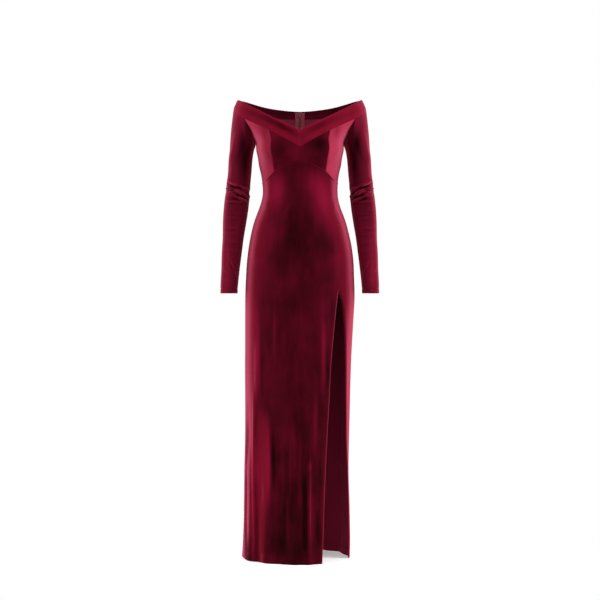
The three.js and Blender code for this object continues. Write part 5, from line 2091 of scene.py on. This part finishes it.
@dataclass
class Studio:
    """Camera, floor and soft lights.

    Attributes:
        eye: Place of the camera.
        lens: Its focal length on a 36 mm sensor.
        floor: Height of the floor.
        reach: Radius of the floor.
        middle: The middle of the dress, where the softboxes face.
        room_light: How much the white room lights the dress.
        floor_glow: Light that the floor gives off itself, so that it fades into the room.
        floor_shade: The floor's grey.
        floor_roughness: Its roughness.
        floor_corners: Number of corners of its round edge.
    """

    eye: tuple[float, float, float] = (0.0006, -4.2, -0.476)
    lens: float = 82.5
    floor: float = -1.2624
    reach: float = 0.95
    middle: tuple[float, float, float] = (0.0, 0.0, -0.55)
    room_light: float = 0.6
    floor_glow: float = 0.3
    floor_shade: float = 0.86
    floor_roughness: float = 0.7
    floor_corners: int = 96

    def camera(self) -> None:
        """Sets the camera up level, looking at the front."""
        lens = bpy.data.cameras.new("front_camera")
        lens.lens = self.lens
        lens.sensor_width = 36.0
        camera = bpy.data.objects.new("front_camera", lens)
        camera.location = self.eye
        camera.rotation_euler = (math.pi / 2, 0, 0)
        bpy.context.scene.collection.objects.link(camera)
        bpy.context.scene.camera = camera

    def softbox(self, name: str, place: tuple[float, float, float], width: float, height: float,
                power: float) -> None:
        """Hangs a softbox that faces the middle of the dress.

        Args:
            name: Its name.
            place: Where it hangs.
            width: Its width.
            height: Its height.
            power: Its power in watts.
        """
        light = bpy.data.lights.new(name, "AREA")
        light.shape = "RECTANGLE"
        light.size, light.size_y, light.energy = width, height, power
        box = bpy.data.objects.new(name, light)
        box.location = place
        aim = Vector(self.middle) - Vector(place)
        box.rotation_euler = aim.to_track_quat("-Z", "Y").to_euler()
        bpy.context.scene.collection.objects.link(box)

    def lights(self) -> None:
        """Hangs the softboxes and whitens the room."""
        self.softbox("softbox_left", (2.5, -0.7, 0.1), 1.6, 2.8, 102.0)
        self.softbox("softbox_right", (-2.5, -0.7, 0.1), 1.6, 2.8, 82.0)
        self.softbox("softbox_front", (0.0, -3.4, 1.6), 1.8, 1.4, 20.0)
        world = bpy.data.worlds.new("white_room")
        world.use_nodes = True
        wiring = Wiring(world.node_tree)
        backdrop = world.node_tree.nodes["Background"]
        backdrop.inputs["Color"].default_value = (1, 1, 1, 1)
        seen = wiring.add("ShaderNodeLightPath").outputs["Is Camera Ray"]
        glow = wiring.maths("MULTIPLY", seen, 1 - self.room_light)
        wiring.join(wiring.maths("ADD", glow, self.room_light), backdrop.inputs["Strength"])
        bpy.context.scene.world = world
        bpy.context.scene.view_settings.view_transform = "Standard"

    def ground(self) -> None:
        """Lays the pale floor."""
        turns = np.linspace(0, 2 * math.pi, self.floor_corners, endpoint=False)
        ring = [(self.reach * math.cos(t), self.reach * math.sin(t), self.floor) for t in turns]
        mesh = bpy.data.meshes.new("pale_floor")
        mesh.from_pydata(ring, [], [tuple(range(len(ring)))])
        floor = bpy.data.objects.new("pale_floor", mesh)
        bpy.context.scene.collection.objects.link(floor)
        material = bpy.data.materials.new("pale_floor")
        material.use_nodes = True
        shader = material.node_tree.nodes["Principled BSDF"]
        shader.inputs["Base Color"].default_value = (*[self.floor_shade] * 3, 1)
        shader.inputs["Roughness"].default_value = self.floor_roughness
        shader.inputs["Emission Color"].default_value = (1, 1, 1, 1)
        shader.inputs["Emission Strength"].default_value = self.floor_glow
        mesh.materials.append(material)


@dataclass
class Gown:
    """The whole dress: its panels, zip and stitches, dressed and set on its bodies."""

    wardrobe: Wardrobe
    beads: bpy.types.NodeTree
    form: BodyForm = field(default_factory=BodyForm)

    def cloth(self, panel: Panel, inside: bpy.types.Material,
              outside: bpy.types.Material | None = None, slot: str = "velvet",
              sewn: Sequence[bpy.types.Object] = ()) -> bpy.types.Object:
        """Args:
            panel: The panel.
            inside: Material of its inner face.
            outside: Material of its outer face, the velvet if none is named.
            slot: Not used.
            sewn: Stitches on it.

        Returns:
            The piece.
        """
        piece = panel.shell(outside or self.wardrobe.velvet, inside)
        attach(piece, BODY)
        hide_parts(panel.node)
        width, length, area = panel.flat_size()
        list(sewn)
        LOG.info("%s: cut %.3f x %.3f m, %d faces", piece.name, width, length, len(piece.data.polygons))
        return piece

    def sewn_run(self, name: str, lines: Sequence[Array], beads: Beads,
                 finish: bpy.types.Material) -> bpy.types.Object:
        """Makes a run of stitches or coil that rides on the dress.

        Args:
            name: Its name.
            lines: Its lines, in millimetres.
            beads: Its beads.
            finish: Their material.

        Returns:
            The piece.
        """
        piece = beads.along(name, lines, self.beads, finish)
        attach(piece, BODY)
        LOG.info("%s: %d faces", piece.name, len(piece.data.polygons))
        return piece

    def build(self) -> None:
        """Builds every piece."""
        back = self.wardrobe.cloth_back
        outsides = {"cup_centre": self.wardrobe.pile_down, "cup_side": self.wardrobe.pile_up,
                    "skirt_front_side": self.wardrobe.side_panel}
        for panel in Bodice(self.form).panels() + Skirt(self.form).panels():
            inside = self.wardrobe.skirt_back if panel.node.startswith("skirt") else back
            without_side = panel.node.rsplit("_", 1)[0]
            self.cloth(panel, inside, outsides.get(without_side))
        for side in Side:
            self.cloth(Band(self.form, side).panel(), self.wardrobe.velvet, self.wardrobe.band)
            sleeve = Sleeve(self.form, side).panel()
            hem_run = row_line(sleeve, SLEEVE_HEM, -STITCH_LIFT)
            hem = self.sewn_run(f"sleeve_hem_stitches_{side.word}", [hem_run],
                                HEM_STITCH, self.wardrobe.thread)
            self.cloth(sleeve, back, self.wardrobe.sleeve, sewn=[hem])
        self.fit_zip()

    def fit_zip(self) -> None:
        """Fits the tapes, the coil, the slider and its pull."""
        centre_back = Zip(self.form)
        tape = self.wardrobe.tape
        for side in Side:
            stitches = self.sewn_run(f"zip_stitches_{side.word}", centre_back.stitches(side),
                                     TAPE_STITCH, self.wardrobe.thread)
            self.cloth(centre_back.tape(side), tape, tape, "zip_tape", [stitches])
        coil = self.sewn_run("zip_coil_beads", [centre_back.coil()], COIL_BEAD, self.wardrobe.coil)
        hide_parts("zip_coil")
        for node in ("zip_slider", "zip_pull"):
            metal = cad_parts[node]
            metal.data.materials.clear()
            metal.data.materials.append(self.wardrobe.lacquer)
            LOG.info("%s: dressed", node)


def main() -> None:
    """Builds the dress and its studio.
    """
    logging.basicConfig(level=logging.INFO, format="%(name)s %(message)s")
    studio = Studio()
    studio.camera()
    studio.lights()
    studio.ground()
    Gown(Wardrobe.made(), beads_tree()).build()


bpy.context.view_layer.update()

if __name__ == "__main__":
    main()
